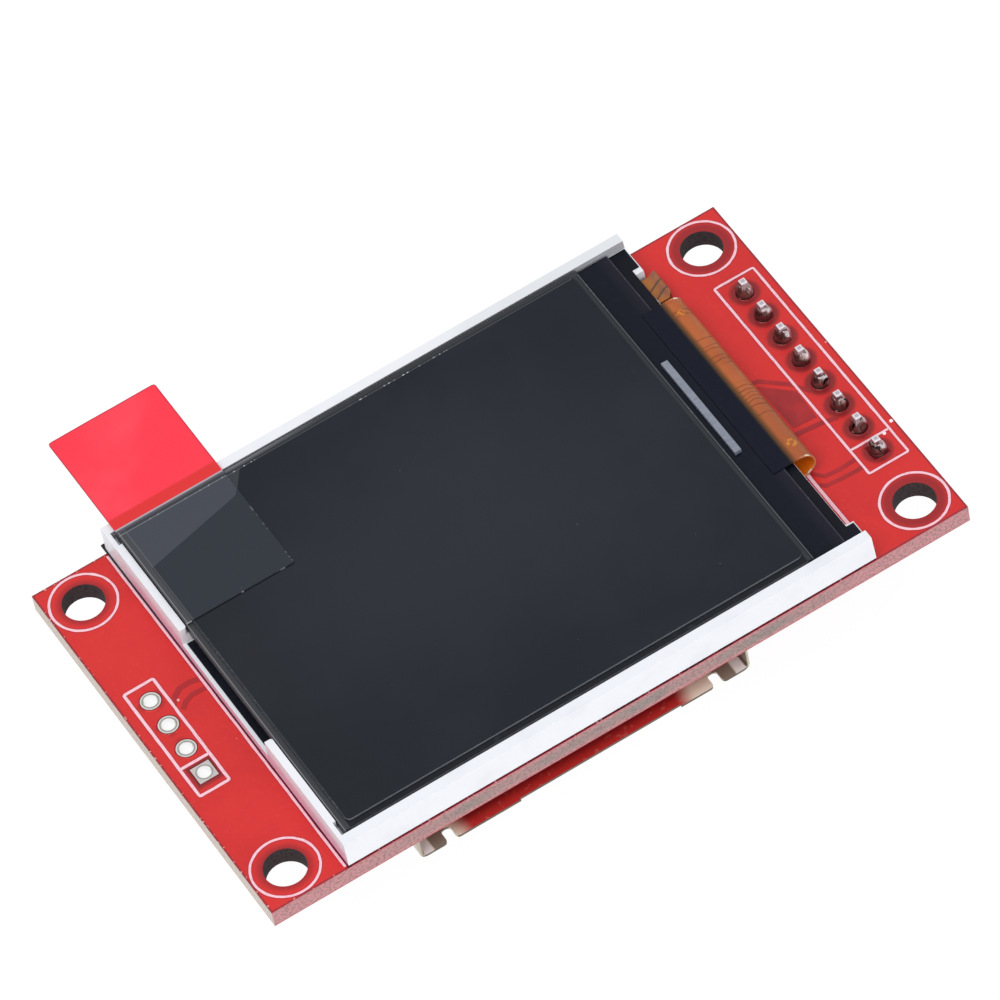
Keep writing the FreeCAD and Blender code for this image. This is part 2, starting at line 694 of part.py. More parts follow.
def backlight_stack():
    """Reflector, light guide, diffuser and two prism sheets, each resting on the one below."""
    levels = (
        ("reflector_sheet", frame_bottom, guide_bottom, cavity_right),
        ("light_guide", guide_bottom, guide_top, stack_x[1]),
        ("diffuser_sheet", guide_top, diffuser_top, stack_x[1]),
        ("lower_prism_sheet", diffuser_top, lower_prism_top, stack_x[1]),
        ("upper_prism_sheet", lower_prism_top, upper_prism_top, stack_x[1]),
    )
    for label, bottom, top, right in levels:
        node(label, block(label, (stack_x[0], right), stack_y, (bottom, top)))


def backlight_lamps():
    """Side lit lamps in the channel, facing the light guide."""
    first = frame_middle_y - S.led_spacing * (S.led_count - 1) / 2
    body = new_body("backlight_lamps")
    pad(body, "lamp", "XY_Plane", (guide_bottom, guide_top), [rectangle(
        (stack_x[1] + S.stack_clearance, stack_x[1] + S.stack_clearance + S.led_depth),
        (first - S.led_length / 2, first + S.led_length / 2),
    )])
    repeat(body, "row", "Y_Axis", S.led_spacing, S.led_count)


def lamp_circuit():
    """Flexible strip over the lamps whose tail leaves the frame, curls down and returns to the board."""
    body = new_body("lamp_circuit")
    strip_x = (stack_x[1] + S.stack_clearance, cavity_right)
    inner = S.tail_bend
    outer = inner + S.flex
    far_x = bar_outer + S.tail_reach
    low = board_top + S.copper
    near, far = tail_y
    tip = far + S.tail_tip
    pad(body, "tail", "XZ_Plane", (near, tip), [(
        (strip_x[0], guide_top), (far_x - S.flex, guide_top, inner), (far_x - S.flex, low + S.flex),
        (bar_outer + S.flex, low + S.flex), (bar_outer + S.flex, low),
        (far_x, low), (far_x, tail_top, outer), (strip_x[0], tail_top),
    )])
    beyond = far_x + CUT_MARGIN
    cut(body, "far_side", "XY_Plane", (ZERO, frame_top), [(
        (strip_x[0] - CUT_MARGIN, far), (frame_right, far), (far_x, tip), (beyond, tip),
        (beyond, tip + CUT_MARGIN), (strip_x[0] - CUT_MARGIN, tip + CUT_MARGIN),
    )])
    cut(body, "near_corner", "XY_Plane", (ZERO, frame_top), [(
        (far_x - S.tail_corner, near - CUT_MARGIN), (beyond, near - CUT_MARGIN), (beyond, near + S.tail_skew),
        (far_x, near + S.tail_skew), (far_x - S.tail_corner, near),
    )])
    strip_near = frame_middle_y - S.led_spacing * (S.led_count - 1) / 2 - S.led_length / 2
    pad(body, "strip", "XY_Plane", (guide_top, tail_top), [rectangle(strip_x, (strip_near, far))])


def black_tape():
    """Black tape on the ledge that carries the glass, and a strip of it on the low flange in the gap."""
    body = new_body("black_tape")
    left = seat_left + S.tape_inset
    near = seat_near + S.tape_inset
    far = seat_far - S.tape_inset
    corner = bar_outer + S.tape_tab
    edge = bar_outer - S.tape_inset / 2
    window = (left + S.tape_border, upper_glass_right - S.tape_border)
    pad(body, "border", "XY_Plane", (seat_floor, tape_top), [
        (
            (left, near), (corner, near), (corner, near + S.tape_tab_near - S.tape_inset),
            (edge, near + S.tape_tab_near - S.tape_inset), (edge, far - S.tape_tab_far + S.tape_inset),
            (corner, far - S.tape_tab_far + S.tape_inset), (corner, far), (left, far),
        ),
        rectangle(window, (near + S.tape_border, far - S.tape_border)),
    ])
    pad(body, "gap_strip", "XY_Plane", (gap_floor, gap_floor + S.tape), [rectangle(
        (frame_left + S.flange_bare, cavity_left),
        (end_gap_y[0] + S.tape_inset, end_gap_y[1] - S.tape_inset),
    )])
    return window, (near + S.tape_border, far - S.tape_border)


def glass_stack():
    """Rear polarizer, two glass plates, front polarizer and the film over it."""
    window_x, window_y = black_tape()
    gap = S.stack_clearance
    rear_x = (window_x[0] + gap, window_x[1] - gap)
    rear_y = (window_y[0] + gap, window_y[1] - gap)
    glass_y = (glass_near, glass_far)
    for label, x, y, z in (
        ("rear_polarizer", rear_x, rear_y, (tape_top - S.polarizer, tape_top)),
        ("array_glass", (glass_left, array_right), glass_y, (tape_top, array_top)),
        ("filter_glass", (glass_left, upper_glass_right), glass_y, (array_top, upper_glass_top)),
    ):
        node(label, block(label, x, y, z))
    for label, bottom, top in (
        ("front_polarizer", upper_glass_top, front_polarizer_top),
        ("protective_film", front_polarizer_top, film_top),
    ):
        body = new_body(label)
        pad(body, f"{label}_sheet", "XY_Plane", (bottom, top), [rectangle(front_x, front_y, S.film_corner)])


def pull_tab():
    """Strip stuck to the film's far left corner, for peeling the film off."""
    body = new_body("pull_tab")
    left = front_x[0] - S.tab_past_film
    near, far = front_y[1] - S.tab_on_film, front_y[1] + S.tab_overhang
    right = left + S.tab_width
    pad(body, "strip", "XY_Plane", (film_top, film_top + S.tab), [(
        (left, near), (right, near), (right, far, S.tab_corner), (left, far, S.tab_corner),
    )])


def driver_chip():
    """Bare driver chip on the contact ledge."""
    middle_x = array_right - S.chip_setback
    middle_y = frame_middle_y + S.chip_shift
    node("driver_chip", block(
        "driver_chip", (middle_x - S.chip_width / 2, middle_x + S.chip_width / 2),
        (middle_y - S.chip_length / 2, middle_y + S.chip_length / 2), (array_top, array_top + S.chip_height)))


def display_ribbon():
    """Flexible circuit bonded to the ledge, rolled over the bar and soldered to the board under the frame."""
    body = new_body("display_ribbon")
    top = array_top + S.flex
    low = board_top + S.copper + S.ribbon_solder
    outer = (top - low) / 2
    inner = outer - S.flex
    roll_right = bar_outer + S.ribbon_roll + outer
    start = array_right - S.ribbon_bond
    end = bar_outer - S.ribbon_return
    middle = frame_middle_y + S.ribbon_shift
    span_y = (middle - S.ribbon_width / 2, middle + S.ribbon_width / 2)
    hollow_right = roll_right - S.flex
    pad(body, "sheet", "XZ_Plane", span_y, [(
        (start, array_top), (hollow_right, array_top, inner), (hollow_right, low + S.flex, inner),
        (end, low + S.flex), (end, low), (roll_right, low, outer), (roll_right, top, outer), (start, top),
    )])
    pads = new_body("ribbon_solder")
    first = middle - S.ribbon_pad_pitch * (S.ribbon_pad_count - 1) / 2
    pad(pads, "joint", "XY_Plane", (board_top, low), [rectangle(
        (end, end + S.ribbon_pad_length), (first - S.ribbon_pad_width / 2, first + S.ribbon_pad_width / 2))])
    repeat(pads, "row", "Y_Axis", S.ribbon_pad_pitch, S.ribbon_pad_count)


def adhesive_strips():
    """Foam strips between the board and the display, the left one askew and past the frame's far corner."""
    body = new_body("adhesive_strips")
    left = frame_left - S.adhesive_overhang
    right = bar_outer - S.ribbon_return - S.stack_clearance
    near, far = seat_near, frame_far + S.adhesive_reach
    width, skew = S.adhesive_width, S.adhesive_skew
    pad(body, "strips", "XY_Plane", (board_top, frame_bottom), [
        ((left + skew, near), (left + skew + width, near), (left + width, far), (left, far)),
        rectangle((right - width, right), (near, seat_far)),
    ])


# Places of the card socket, about its own centre line and mouth.
socket_x = -S.shell_shift
mouth_y = board_near + S.shell_inset
shell_rear_y = mouth_y + S.shell_depth
shell_half = S.shell_width / 2
housing_half = shell_half - S.shell_sheet - S.housing_clearance
tab_y = (
    (mouth_y + S.shell_tab_end, mouth_y + S.shell_tab_end + S.shell_tab_length),
    (shell_rear_y - S.shell_tab_end - S.shell_tab_length, shell_rear_y - S.shell_tab_end),
)


def place_on_socket(body):
    """Move a body that is drawn about X = 0 to the socket's centre line."""
    bind(body, "Placement.Base.x", socket_x)


def sd_shell():
    """Folded shell: a plate with bent sides, a notched lip, two spring tongues and four solder tabs."""
    body = new_body("sd_shell")
    low = -S.shell_height
    top = back_copper_bottom
    outer_bend = S.shell_bend
    pad(body, "block", "XZ_Plane", (mouth_y, shell_rear_y), [(
        (-shell_half, top), (-shell_half, low, outer_bend), (shell_half, low, outer_bend), (shell_half, top),
    )])
    inner_half = shell_half - S.shell_sheet
    bend = S.shell_bend - S.shell_sheet
    floor = low + S.shell_sheet
    cut(body, "inside", "XZ_Plane", (mouth_y - CUT_MARGIN, shell_rear_y + CUT_MARGIN), [(
        (-inner_half, top + CUT_MARGIN), (-inner_half, floor, bend), (inner_half, floor, bend),
        (inner_half, top + CUT_MARGIN),
    )])
    plate = (low - CUT_MARGIN, floor + TOLERANCE)
    notch_outer = shell_half - S.hook_width
    notch_inner = notch_outer - S.notch_width
    notch_end = mouth_y + S.notch_depth
    outside = mouth_y - CUT_MARGIN
    corner = S.notch_corner
    cut(body, "notches", "XY_Plane", plate, [
        ((side * notch_inner, outside), (side * notch_outer, outside),
         (side * notch_outer, notch_end, corner), (side * notch_inner, notch_end, corner))
        for side in (-1, 1)
    ])
    fillet(body, "lip_corners", S.notch_corner, is_lip_corner)
    lip_left = S.lip_recess_shift - S.lip_recess_width / 2
    lip_right = S.lip_recess_shift + S.lip_recess_width / 2
    cut(body, "lip_recess", "XY_Plane", plate,
        [rectangle((lip_left, lip_right), (outside, mouth_y + S.lip_recess))])
    root = shell_rear_y - S.tongue_back
    tip = root - S.tongue_length
    slot = S.tongue_slot
    half = S.tongue_width / 2
    tongues = []
    for side in (-1, 1):
        middle = side * S.tongue_spacing / 2
        left, right = middle - half, middle + half
        tongues.append((
            (left - slot, root), (left - slot, tip - slot), (right + slot, tip - slot), (right + slot, root),
            (right, root), (right, tip), (left, tip), (left, root),
        ))
    cut(body, "tongue_slots", "XY_Plane", plate, tongues)
    reach = shell_half + S.shell_tab_reach
    flanges = []
    for side in (-1, 1):
        for span in tab_y:
            flanges.append(rectangle((side * inner_half, side * reach), span))
    pad(body, "solder_tabs", "XY_Plane", (top - S.shell_sheet, top), flanges)
    place_on_socket(body)


def is_lip_corner(edge):
    """Whether an upright edge is a corner of the lip beside a notch."""
    if not is_upright(edge):
        return False
    point = edge.Vertexes[0].Point
    at_mouth = abs(point.y - mouth_y.value) < TOLERANCE
    return at_mouth and abs(point.x) < (shell_half - S.shell_bend).value - TOLERANCE


# Centre lines of the card contacts and of the two card detect contacts, about the socket's own middle.
contact_first_x = -S.contact_pitch * (S.contact_count - 1) / 2 - S.contact_shift
contact_xs = [contact_first_x + S.contact_pitch * index for index in range(int(S.contact_count.value))]
detect_xs = [contact_xs[-1] + S.detect_gap, contact_xs[-1] + S.detect_gap + S.detect_pitch]
housing_rear_y = shell_rear_y
block_front_y = housing_rear_y - S.rear_block


def sd_housing():
    """Moulded base: side rails, a rear block and a channelled floor on the board."""
    body = new_body("sd_housing")
    low = -S.shell_height + S.shell_sheet + S.housing_clearance
    top = back_copper_bottom
    bend = S.shell_bend
    front = mouth_y + S.housing_set_back
    pad(body, "block", "XZ_Plane", (front, housing_rear_y), [(
        (-housing_half, top), (-housing_half, low, bend), (housing_half, low, bend), (housing_half, top),
    )])
    rail = housing_half - S.rail_width
    cut(body, "card_space", "XY_Plane", (low - CUT_MARGIN, top - S.housing_floor),
        [rectangle((-rail, rail), (front - CUT_MARGIN, block_front_y))])
    cut(body, "front_opening", "XY_Plane", (low, top + CUT_MARGIN),
        [rectangle((-rail, rail), (front - CUT_MARGIN, housing_rear_y - S.floor_length))])
    channels = []
    for middles, width, start in (
        (contact_xs, S.contact_width, housing_rear_y - S.floor_length - CUT_MARGIN),
        (detect_xs, S.detect_width, block_front_y - S.detect_reach - S.channel_clearance),
    ):
        half = width / 2 + S.channel_clearance
        channels += [rectangle((x - half, x + half), (start, housing_rear_y + CUT_MARGIN)) for x in middles]
    cut(body, "channels", "XY_Plane", (top - S.housing_floor, top + CUT_MARGIN), channels)
    place_on_socket(body)


contact_end_y = housing_rear_y + S.contact_tail


def sd_contacts():
    """Card contacts in the housing's channels: a flat tail, a sprung arm and a turned tip."""
    body = new_body("sd_contacts")
    half = S.contact_width / 2
    top = back_copper_bottom
    under = top - S.contact_sheet
    crest_y = block_front_y - S.contact_arm
    tip_y = crest_y - S.contact_tip
    tip_z = -S.contact_rise + S.contact_turn
    pad(body, "contact", "YZ_Plane", (contact_first_x - half, contact_first_x + half), [(
        (contact_end_y, top), (contact_end_y, under), (block_front_y, under), (crest_y, -S.contact_rise),
        (tip_y, tip_z), (tip_y, tip_z + S.contact_sheet), (crest_y, S.contact_sheet - S.contact_rise),
        (block_front_y, top),
    )])
    repeat(body, "row", "X_Axis", S.contact_pitch, S.contact_count)
    place_on_socket(body)
    detect = new_body("detect_contacts")
    half = S.detect_width / 2
    span_y = (block_front_y - S.detect_reach, contact_end_y)
    strips = [rectangle((x - half, x + half), span_y) for x in detect_xs]
    pad(detect, "strips", "XY_Plane", (under, top), strips)
    place_on_socket(detect)


def sd_solder():
    """Solder wedges on the contact tails and blocks of solder on the shell's tabs."""
    tails = new_body("contact_solder")
    top = back_copper_bottom
    end = contact_end_y + S.solder_run
    wedge = ((contact_end_y, top), (contact_end_y, top - S.contact_sheet), (end, top))
    for index, (x, width) in enumerate(
        [(x, S.contact_width) for x in contact_xs] + [(x, S.detect_width) for x in detect_xs]
    ):
        pad(tails, f"wedge_{index}", "YZ_Plane", (x - width / 2, x + width / 2), [wedge])
    place_on_socket(tails)
    tabs = new_body("shell_solder")
    reach = shell_half + S.shell_tab_reach
    wedges = [
        ((side * reach, top), (side * reach, top - S.shell_sheet), (side * (reach + S.solder_run), top))
        for side in (-1, 1)
    ]
    for index, span in enumerate(tab_y):
        pad(tabs, f"wedges_{index}", "XZ_Plane", span, wedges)
    place_on_socket(tabs)


# Small parts stand in a column between the socket and the header.
column_x = socket_x + shell_half + S.shell_tab_reach + S.part_gap + S.chip_part_length / 2
column_top_y = S.row_pitch * 3
RESISTOR_ROWS = (0, 1, 2, 3)
CAPACITOR_ROWS = (5, 6)
JUMPER_ROW = 7


def row_y(row):
    """Place of one row in the column of small parts."""
    return column_top_y - S.row_pitch * row


def chip_parts(bodies_label, caps_label, rows, height):
    """Chip resistors or capacitors: a body between two metal ends."""
    bodies, caps = [], []
    half_length, half_width = S.chip_part_length / 2, S.chip_part_width / 2
    for row in rows:
        span_y = (row_y(row) - half_width, row_y(row) + half_width)
        span_z = (back_copper_bottom - height, back_copper_bottom)
        bodies.append(block(f"{bodies_label}_{row}", (column_x - half_length + S.end_cap,
                                                     column_x + half_length - S.end_cap), span_y, span_z))
        for side, low, high in (
            ("left", column_x - half_length, column_x - half_length + S.end_cap),
            ("right", column_x + half_length - S.end_cap, column_x + half_length),
        ):
            caps.append(block(f"{caps_label}_{side}_{row}", (low, high), span_y, span_z))
    compound(bodies_label, bodies)
    compound(caps_label, caps)


regulator_x = column_x
regulator_y = row_y(-2)
LEADS = (
    ("left_near", -1, -S.lead_spacing / 2),
    ("left_far", -1, S.lead_spacing / 2),
    ("right", 1, ZERO),
)


def regulator():
    """Three-legged voltage regulator with gull wing leads."""
    body = new_body("regulator_body")
    bottom = back_copper_bottom - S.regulator_standoff
    half_width, half_length = S.regulator_width / 2, S.regulator_length / 2
    x = (regulator_x - half_width, regulator_x + half_width)
    y = (regulator_y - half_length, regulator_y + half_length)
    pad(body, "moulding", "XY_Plane", (bottom - S.regulator_height, bottom), [rectangle(x, y)])
    leads = new_body("regulator_leads")
    middle = bottom - S.regulator_height / 2
    sheet_half = S.lead_sheet / 2
    top = back_copper_bottom
    for name, side, offset in LEADS:
        wall = regulator_x + side * half_width
        knee = wall + side * (S.lead_reach - S.lead_foot)
        toe = wall + side * S.lead_reach
        shin = knee + side * S.lead_sheet
        y = regulator_y + offset
        pad(leads, name, "XZ_Plane", (y - S.lead_width / 2, y + S.lead_width / 2), [(
            (wall, middle - sheet_half), (shin, middle - sheet_half), (shin, top - S.lead_sheet),
            (toe, top - S.lead_sheet), (toe, top), (knee, top), (knee, middle + sheet_half),
            (wall, middle + sheet_half),
        )])


def component_pads():
    """Tinned pads under the small parts, the bare jumper and the socket's tails and tabs."""
    pads = []
    span_z = (back_copper_bottom, ZERO)
    margin = S.pad_margin
    half_length, half_width = S.chip_part_length / 2, S.chip_part_width / 2
    for row in RESISTOR_ROWS + CAPACITOR_ROWS + (JUMPER_ROW,):
        for side in (-1, 1):
            outer = column_x + side * (half_length + margin)
            inner = column_x + side * (half_length - S.end_cap - margin)
            low, high = (outer, inner) if side < 0 else (inner, outer)
            pads.append(block(f"pad_{row}_{side + 1}", (low, high),
                              (row_y(row) - half_width, row_y(row) + half_width), span_z))
    for name, side, offset in LEADS:
        wall = regulator_x + side * S.regulator_width / 2
        inner = wall + side * margin / 2
        outer = wall + side * (S.lead_reach + margin)
        low, high = (outer, inner) if side < 0 else (inner, outer)
        y = regulator_y + offset
        pads.append(block(f"lead_pad_{name}", (low, high), (y - S.lead_width, y + S.lead_width), span_z))
    half = S.detect_width / 2
    for index, tail_x in enumerate(contact_xs + detect_xs):
        x = socket_x + tail_x
        pads.append(block(f"tail_pad_{index}", (x - half, x + half),
                          (housing_rear_y, contact_end_y + S.solder_run + margin), span_z))
    reach = shell_half + S.shell_tab_reach + S.solder_run + margin
    for index, span in enumerate(tab_y):
        for side in (-1, 1):
            outer, inner = socket_x + side * reach, socket_x + side * (shell_half - S.shell_sheet)
            low, high = (outer, inner) if side < 0 else (inner, outer)
            pads.append(block(f"tab_pad_{index}_{side + 1}", (low, high), span, span_z))
    compound("component_pads", pads)


circuit_board()
header_pads()
bare_hole_pads()
header_pins()
header_strip()
solder_joints()
backlight_frame()
backlight_stack()
backlight_lamps()
lamp_circuit()
glass_stack()
pull_tab()
driver_chip()
display_ribbon()
adhesive_strips()
sd_shell()
sd_housing()
sd_contacts()
sd_solder()
chip_parts("resistor_bodies", "resistor_ends", RESISTOR_ROWS, S.resistor_height)
chip_parts("capacitor_bodies", "capacitor_ends", CAPACITOR_ROWS, S.capacitor_height)
regulator()
component_pads()

document.recompute()
failed = [item.Name for item in document.Objects if {"Invalid", "Error"} & set(item.State)]
if failed:
    raise ValueError(f"failed objects: {failed}")
for label, item in nodes.items():
    if item.Shape.isNull() or not item.Shape.isValid() or not item.Shape.Solids:
        raise ValueError(f"{label} has no valid solid")

os.makedirs("parts", exist_ok=True)
for label, item in nodes.items():
    item.Shape.exportStep(f"parts/{label}.step")
    print(label, len(item.Shape.Solids), round(item.Shape.Volume, 3))
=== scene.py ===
import math
import random

import bmesh
import bpy
from mathutils import Matrix, Vector, noise

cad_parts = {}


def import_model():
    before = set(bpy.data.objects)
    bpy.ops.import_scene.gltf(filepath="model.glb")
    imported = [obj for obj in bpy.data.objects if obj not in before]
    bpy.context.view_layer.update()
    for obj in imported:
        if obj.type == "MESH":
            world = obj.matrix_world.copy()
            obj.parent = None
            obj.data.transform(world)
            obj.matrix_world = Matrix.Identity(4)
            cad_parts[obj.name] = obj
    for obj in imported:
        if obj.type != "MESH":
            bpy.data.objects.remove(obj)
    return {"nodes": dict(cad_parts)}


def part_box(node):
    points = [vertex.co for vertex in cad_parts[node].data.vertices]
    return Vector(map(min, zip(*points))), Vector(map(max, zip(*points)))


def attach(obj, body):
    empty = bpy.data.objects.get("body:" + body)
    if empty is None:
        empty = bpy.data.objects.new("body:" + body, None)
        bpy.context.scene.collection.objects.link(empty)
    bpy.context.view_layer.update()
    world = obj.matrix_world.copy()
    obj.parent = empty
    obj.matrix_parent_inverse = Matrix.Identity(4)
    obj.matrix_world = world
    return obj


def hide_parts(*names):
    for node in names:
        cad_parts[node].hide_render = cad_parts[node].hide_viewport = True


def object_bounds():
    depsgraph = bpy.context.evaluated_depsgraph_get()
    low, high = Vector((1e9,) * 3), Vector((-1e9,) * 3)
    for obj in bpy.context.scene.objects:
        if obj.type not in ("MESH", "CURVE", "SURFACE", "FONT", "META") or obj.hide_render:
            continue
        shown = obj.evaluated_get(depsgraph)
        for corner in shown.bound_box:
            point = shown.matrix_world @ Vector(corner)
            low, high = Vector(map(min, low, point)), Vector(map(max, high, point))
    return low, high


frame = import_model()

# A 1.8 inch colour display module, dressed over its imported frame. Places and sizes here are millimetres in
# the part's own frame, turned into metres as each mesh is made.
MM = 0.001
CAD_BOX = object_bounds()

# The same seed each run. Without it Blender would draw vector noise by the clock.
noise.seed_set(1)


def node_box(name):
    """Lowest and highest corners of a CAD node, in millimetres."""
    low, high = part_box(name)
    return low / MM, high / MM


BOARD_LOW, BOARD_HIGH = node_box("circuit_board")
BOARD_TOP = BOARD_HIGH.z
BOARD_BACK = BOARD_LOW.z
FRAME_LOW, FRAME_HIGH = node_box("backlight_frame")
FILM_LOW, FILM_HIGH = node_box("protective_film")
TAB_LOW, TAB_HIGH = node_box("pull_tab")
GLASS_LOW, GLASS_HIGH = node_box("filter_glass")
LEDGE_END = node_box("array_glass")[1].x
RIBBON_LOW, RIBBON_HIGH = node_box("display_ribbon")
RIBBON_MIDDLE = (RIBBON_LOW + RIBBON_HIGH) / 2
LAMP_TAIL_END = node_box("lamp_circuit")[1].x
SHELL_LOW, SHELL_HIGH = node_box("sd_shell")
SHELL_MIDDLE = (SHELL_LOW.x + SHELL_HIGH.x) / 2
CONTACTS_END = node_box("contact_solder")[1]
PIN_LOW, PIN_HIGH = node_box("header_pins")
BARE_LOW, BARE_HIGH = node_box("bare_hole_pads")
COPPER_TOP = node_box("header_pads")[1].z

PITCH = 2.54
PIN_COUNT = 8
BARE_COUNT = 4
HEADER_X = (PIN_LOW.x + PIN_HIGH.x) / 2
HEADER_FIRST_Y = -PITCH * (PIN_COUNT - 1) / 2
BARE_X = (BARE_LOW.x + BARE_HIGH.x) / 2
BARE_FIRST_Y = -PITCH * (BARE_COUNT - 1) / 2
MOUNT_INSET = 2.75
MOUNT_RADIUS = 1.6
MOUNT_X = BOARD_HIGH.x - MOUNT_INSET
MOUNT_Y = BOARD_HIGH.y - MOUNT_INSET
HEADER_BOX = (24.97, -10.3, 28.3, 10.5)
HEADER_DIVIDER_Y = -7.75
BARE_BOX = (-28.04, -5.43, -25.6, 5.4)
BARE_DIVIDER_Y = -2.6
LEFT_OUTLINE_X = -22.82


# Materials

def tone(*levels):
    """A colour in screen levels of red, green and blue, 0 to 255, as linear light."""
    shares = [level / 255 for level in levels]
    return (*(s / 12.92 if s <= 0.04045 else ((s + 0.055) / 1.055) ** 2.4 for s in shares), 1.0)


class Paint:
    """A material built up round a Principled shader. Lengths are millimetres and colours screen levels.

    In place of a value, "x", "y" or "z" is the place on the part, and "nx", "ny" or "nz" the way it faces.
    """

    def __init__(self, name, colour, roughness, **sockets):
        self.material = bpy.data.materials.new(name)
        self.material.use_nodes = True
        self.tree = self.material.node_tree
        self.shader = self.tree.nodes["Principled BSDF"]
        self.colour = tone(*colour)
        self.roughness = roughness
        self.put(self.shader, "Base Color", self.colour)
        self.put(self.shader, "Roughness", roughness)
        for socket, value in sockets.items():
            self.put(self.shader, socket.replace("_", " "), value)
        texture = self.tree.nodes.new("ShaderNodeTexCoord")
        inputs = {0: texture.outputs["Object"], "Scale": 1 / MM}
        self.place = self.add("ShaderNodeVectorMath", inputs, operation="SCALE").outputs[0]
        self.axes = {}
        for prefix, vector in (("", self.place), ("n", texture.outputs["Normal"])):
            parts = self.add("ShaderNodeSeparateXYZ", {0: vector}).outputs
            self.axes.update((prefix + letter, part) for letter, part in zip("xyz", parts))

    def put(self, node, socket, value):
        """Set an input to a value, or join it to a coordinate or another node's output."""
        if isinstance(value, str):
            value = self.axes[value]
        if isinstance(value, bpy.types.NodeSocket):
            self.tree.links.new(value, node.inputs[socket])
        else:
            node.inputs[socket].default_value = value

    def add(self, kind, inputs, **settings):
        """A new node of this kind, set up."""
        node = self.tree.nodes.new(kind)
        for setting, value in settings.items():
            setattr(node, setting, value)
        for socket, value in inputs.items():
            self.put(node, socket, value)
        return node

    def maths(self, operation, *values):
        """One step of arithmetic."""
        return self.add("ShaderNodeMath", dict(enumerate(values)), operation=operation).outputs[0]

    def chain(self, operation, first, *others):
        """The same step of arithmetic over all values, one after the other."""
        for value in others:
            first = self.maths(operation, first, value)
        return first

    def both(self, *amounts):
        """All of these amounts together, as a product."""
        return self.chain("MULTIPLY", *amounts)

    def total(self, *values):
        """The sum of the values."""
        return self.chain("ADD", *values)

    def most(self, *values):
        """The greatest of the values."""
        return self.chain("MAXIMUM", *values)

    def less(self, value, other):
        """The first value less the other."""
        return self.maths("SUBTRACT", value, other)

    def size(self, value):
        """The value without its sign."""
        return self.maths("ABSOLUTE", value)

    def rest(self, amount):
        """What the amount leaves of 1."""
        return self.less(1.0, amount)

    def noise(self, scale, detail=3.0, stretch=None, roughness=0.5):
        """Smooth noise from 0 to 1, with so many lumps a millimetre, each axis scaled by its stretch."""
        place = self.place
        if stretch:
            place = self.add("ShaderNodeVectorMath", {0: place, 1: stretch}, operation="MULTIPLY").outputs[0]
        inputs = {"Vector": place, "Scale": scale, "Detail": detail, "Roughness": roughness}
        return self.add("ShaderNodeTexNoise", inputs).outputs["Fac"]

    def cloud(self, low, high, *noise_values):
        """Patches of noise: 0 where the noise is below low and 1 where it is above high."""
        return self.step(self.noise(*noise_values), low, high)

    def specks(self, scale, size):
        """Sparse round dots: 1 inside a dot and 0 outside."""
        cells = self.add("ShaderNodeTexVoronoi", {"Vector": self.place, "Scale": scale})
        return self.step(cells.outputs["Distance"], size, size * 0.6)

    def step(self, value, start, end, place=0.0):
        """A smooth change from 0 at start to 1 at end, both counted from a place."""
        inputs = {"Value": value, "From Min": place + start, "From Max": place + end}
        return self.add("ShaderNodeMapRange", inputs, interpolation_type="SMOOTHSTEP").outputs[0]

    def span(self, value, low, high, soft):
        """1 between low and high, with soft edges."""
        return self.both(self.step(value, low - soft, low + soft), self.step(value, high + soft, high - soft))

    def near(self, value, middle, half, soft):
        """1 within a half width of a value, with soft edges."""
        return self.span(value, middle - half, middle + half, soft)

    def spread(self, value, low, high):
        """A 0 to 1 value, spread over another range."""
        return self.add("ShaderNodeMapRange", {"Value": value, "To Min": low, "To Max": high}).outputs[0]

    def distance(self, x, y, centre_x, centre_y):
        """Flat distance from a centre."""
        ways = (self.less(x, centre_x), self.less(y, centre_y))
        return self.maths("SQRT", self.total(*(self.both(way, way) for way in ways)))

    def square(self, x, y):
        """Half the width of the square round a centre that reaches a place."""
        return self.most(self.size(self.less("x", x)), self.size(self.less("y", y)))

    def along_row(self, first_y):
        """Distance along y from the nearest place of a row at the header's pitch."""
        return self.maths("PINGPONG", self.less("y", first_y), PITCH / 2)

    def row(self, x, first_y):
        """Flat distance from the nearest place of such a row."""
        return self.distance("x", self.along_row(first_y), x, 0.0)

    def tint(self, colour, *amounts):
        """Lay another colour over what the shader has so far, by the product of amounts from 0 to 1."""
        inputs = {0: self.both(*amounts), 6: self.colour, 7: tone(*colour)}
        self.colour = self.add("ShaderNodeMix", inputs, data_type="RGBA").outputs[2]
        self.put(self.shader, "Base Color", self.colour)

    def rough(self, roughness, amount):
        """Change the roughness, by an amount from 0 to 1."""
        self.roughness = self.add("ShaderNodeMix", {0: amount, 2: self.roughness, 3: roughness}).outputs[0]
        self.put(self.shader, "Roughness", self.roughness)

    def bump(self, height, depth):
        """Fine relief, depth in millimetres. Gives back the finished material."""
        relief = self.add("ShaderNodeBump", {"Height": height, "Distance": depth * MM})
        self.put(self.shader, "Normal", relief.outputs[0])
        return self.material


def mask_paint():
    """Red solder mask on the faces, bare glass fibre on the edges and in the mounting holes, whose walls are
    darkened as painted shade.
    """
    paint = Paint("solder_mask", (216, 42, 40), 0.32, IOR=1.45)
    paint.tint((206, 36, 36), paint.cloud(0.35, 0.75, 0.22, 4))
    paint.tint((232, 72, 68), paint.cloud(0.55, 0.75, 3.0, 5), 0.2)
    paint.tint((250, 190, 186), paint.specks(0.7, 0.035), paint.cloud(0.52, 0.6, 0.5, 2), 0.5)
    across, along = paint.size("x"), paint.size("y")
    mount = paint.distance(across, along, MOUNT_X, MOUNT_Y)
    mask_halos(paint, mount)
    mask_rims(paint, across, along)
    mask_edges(paint, mount)
    return paint.bump(paint.noise(2.2, 4), 0.012)


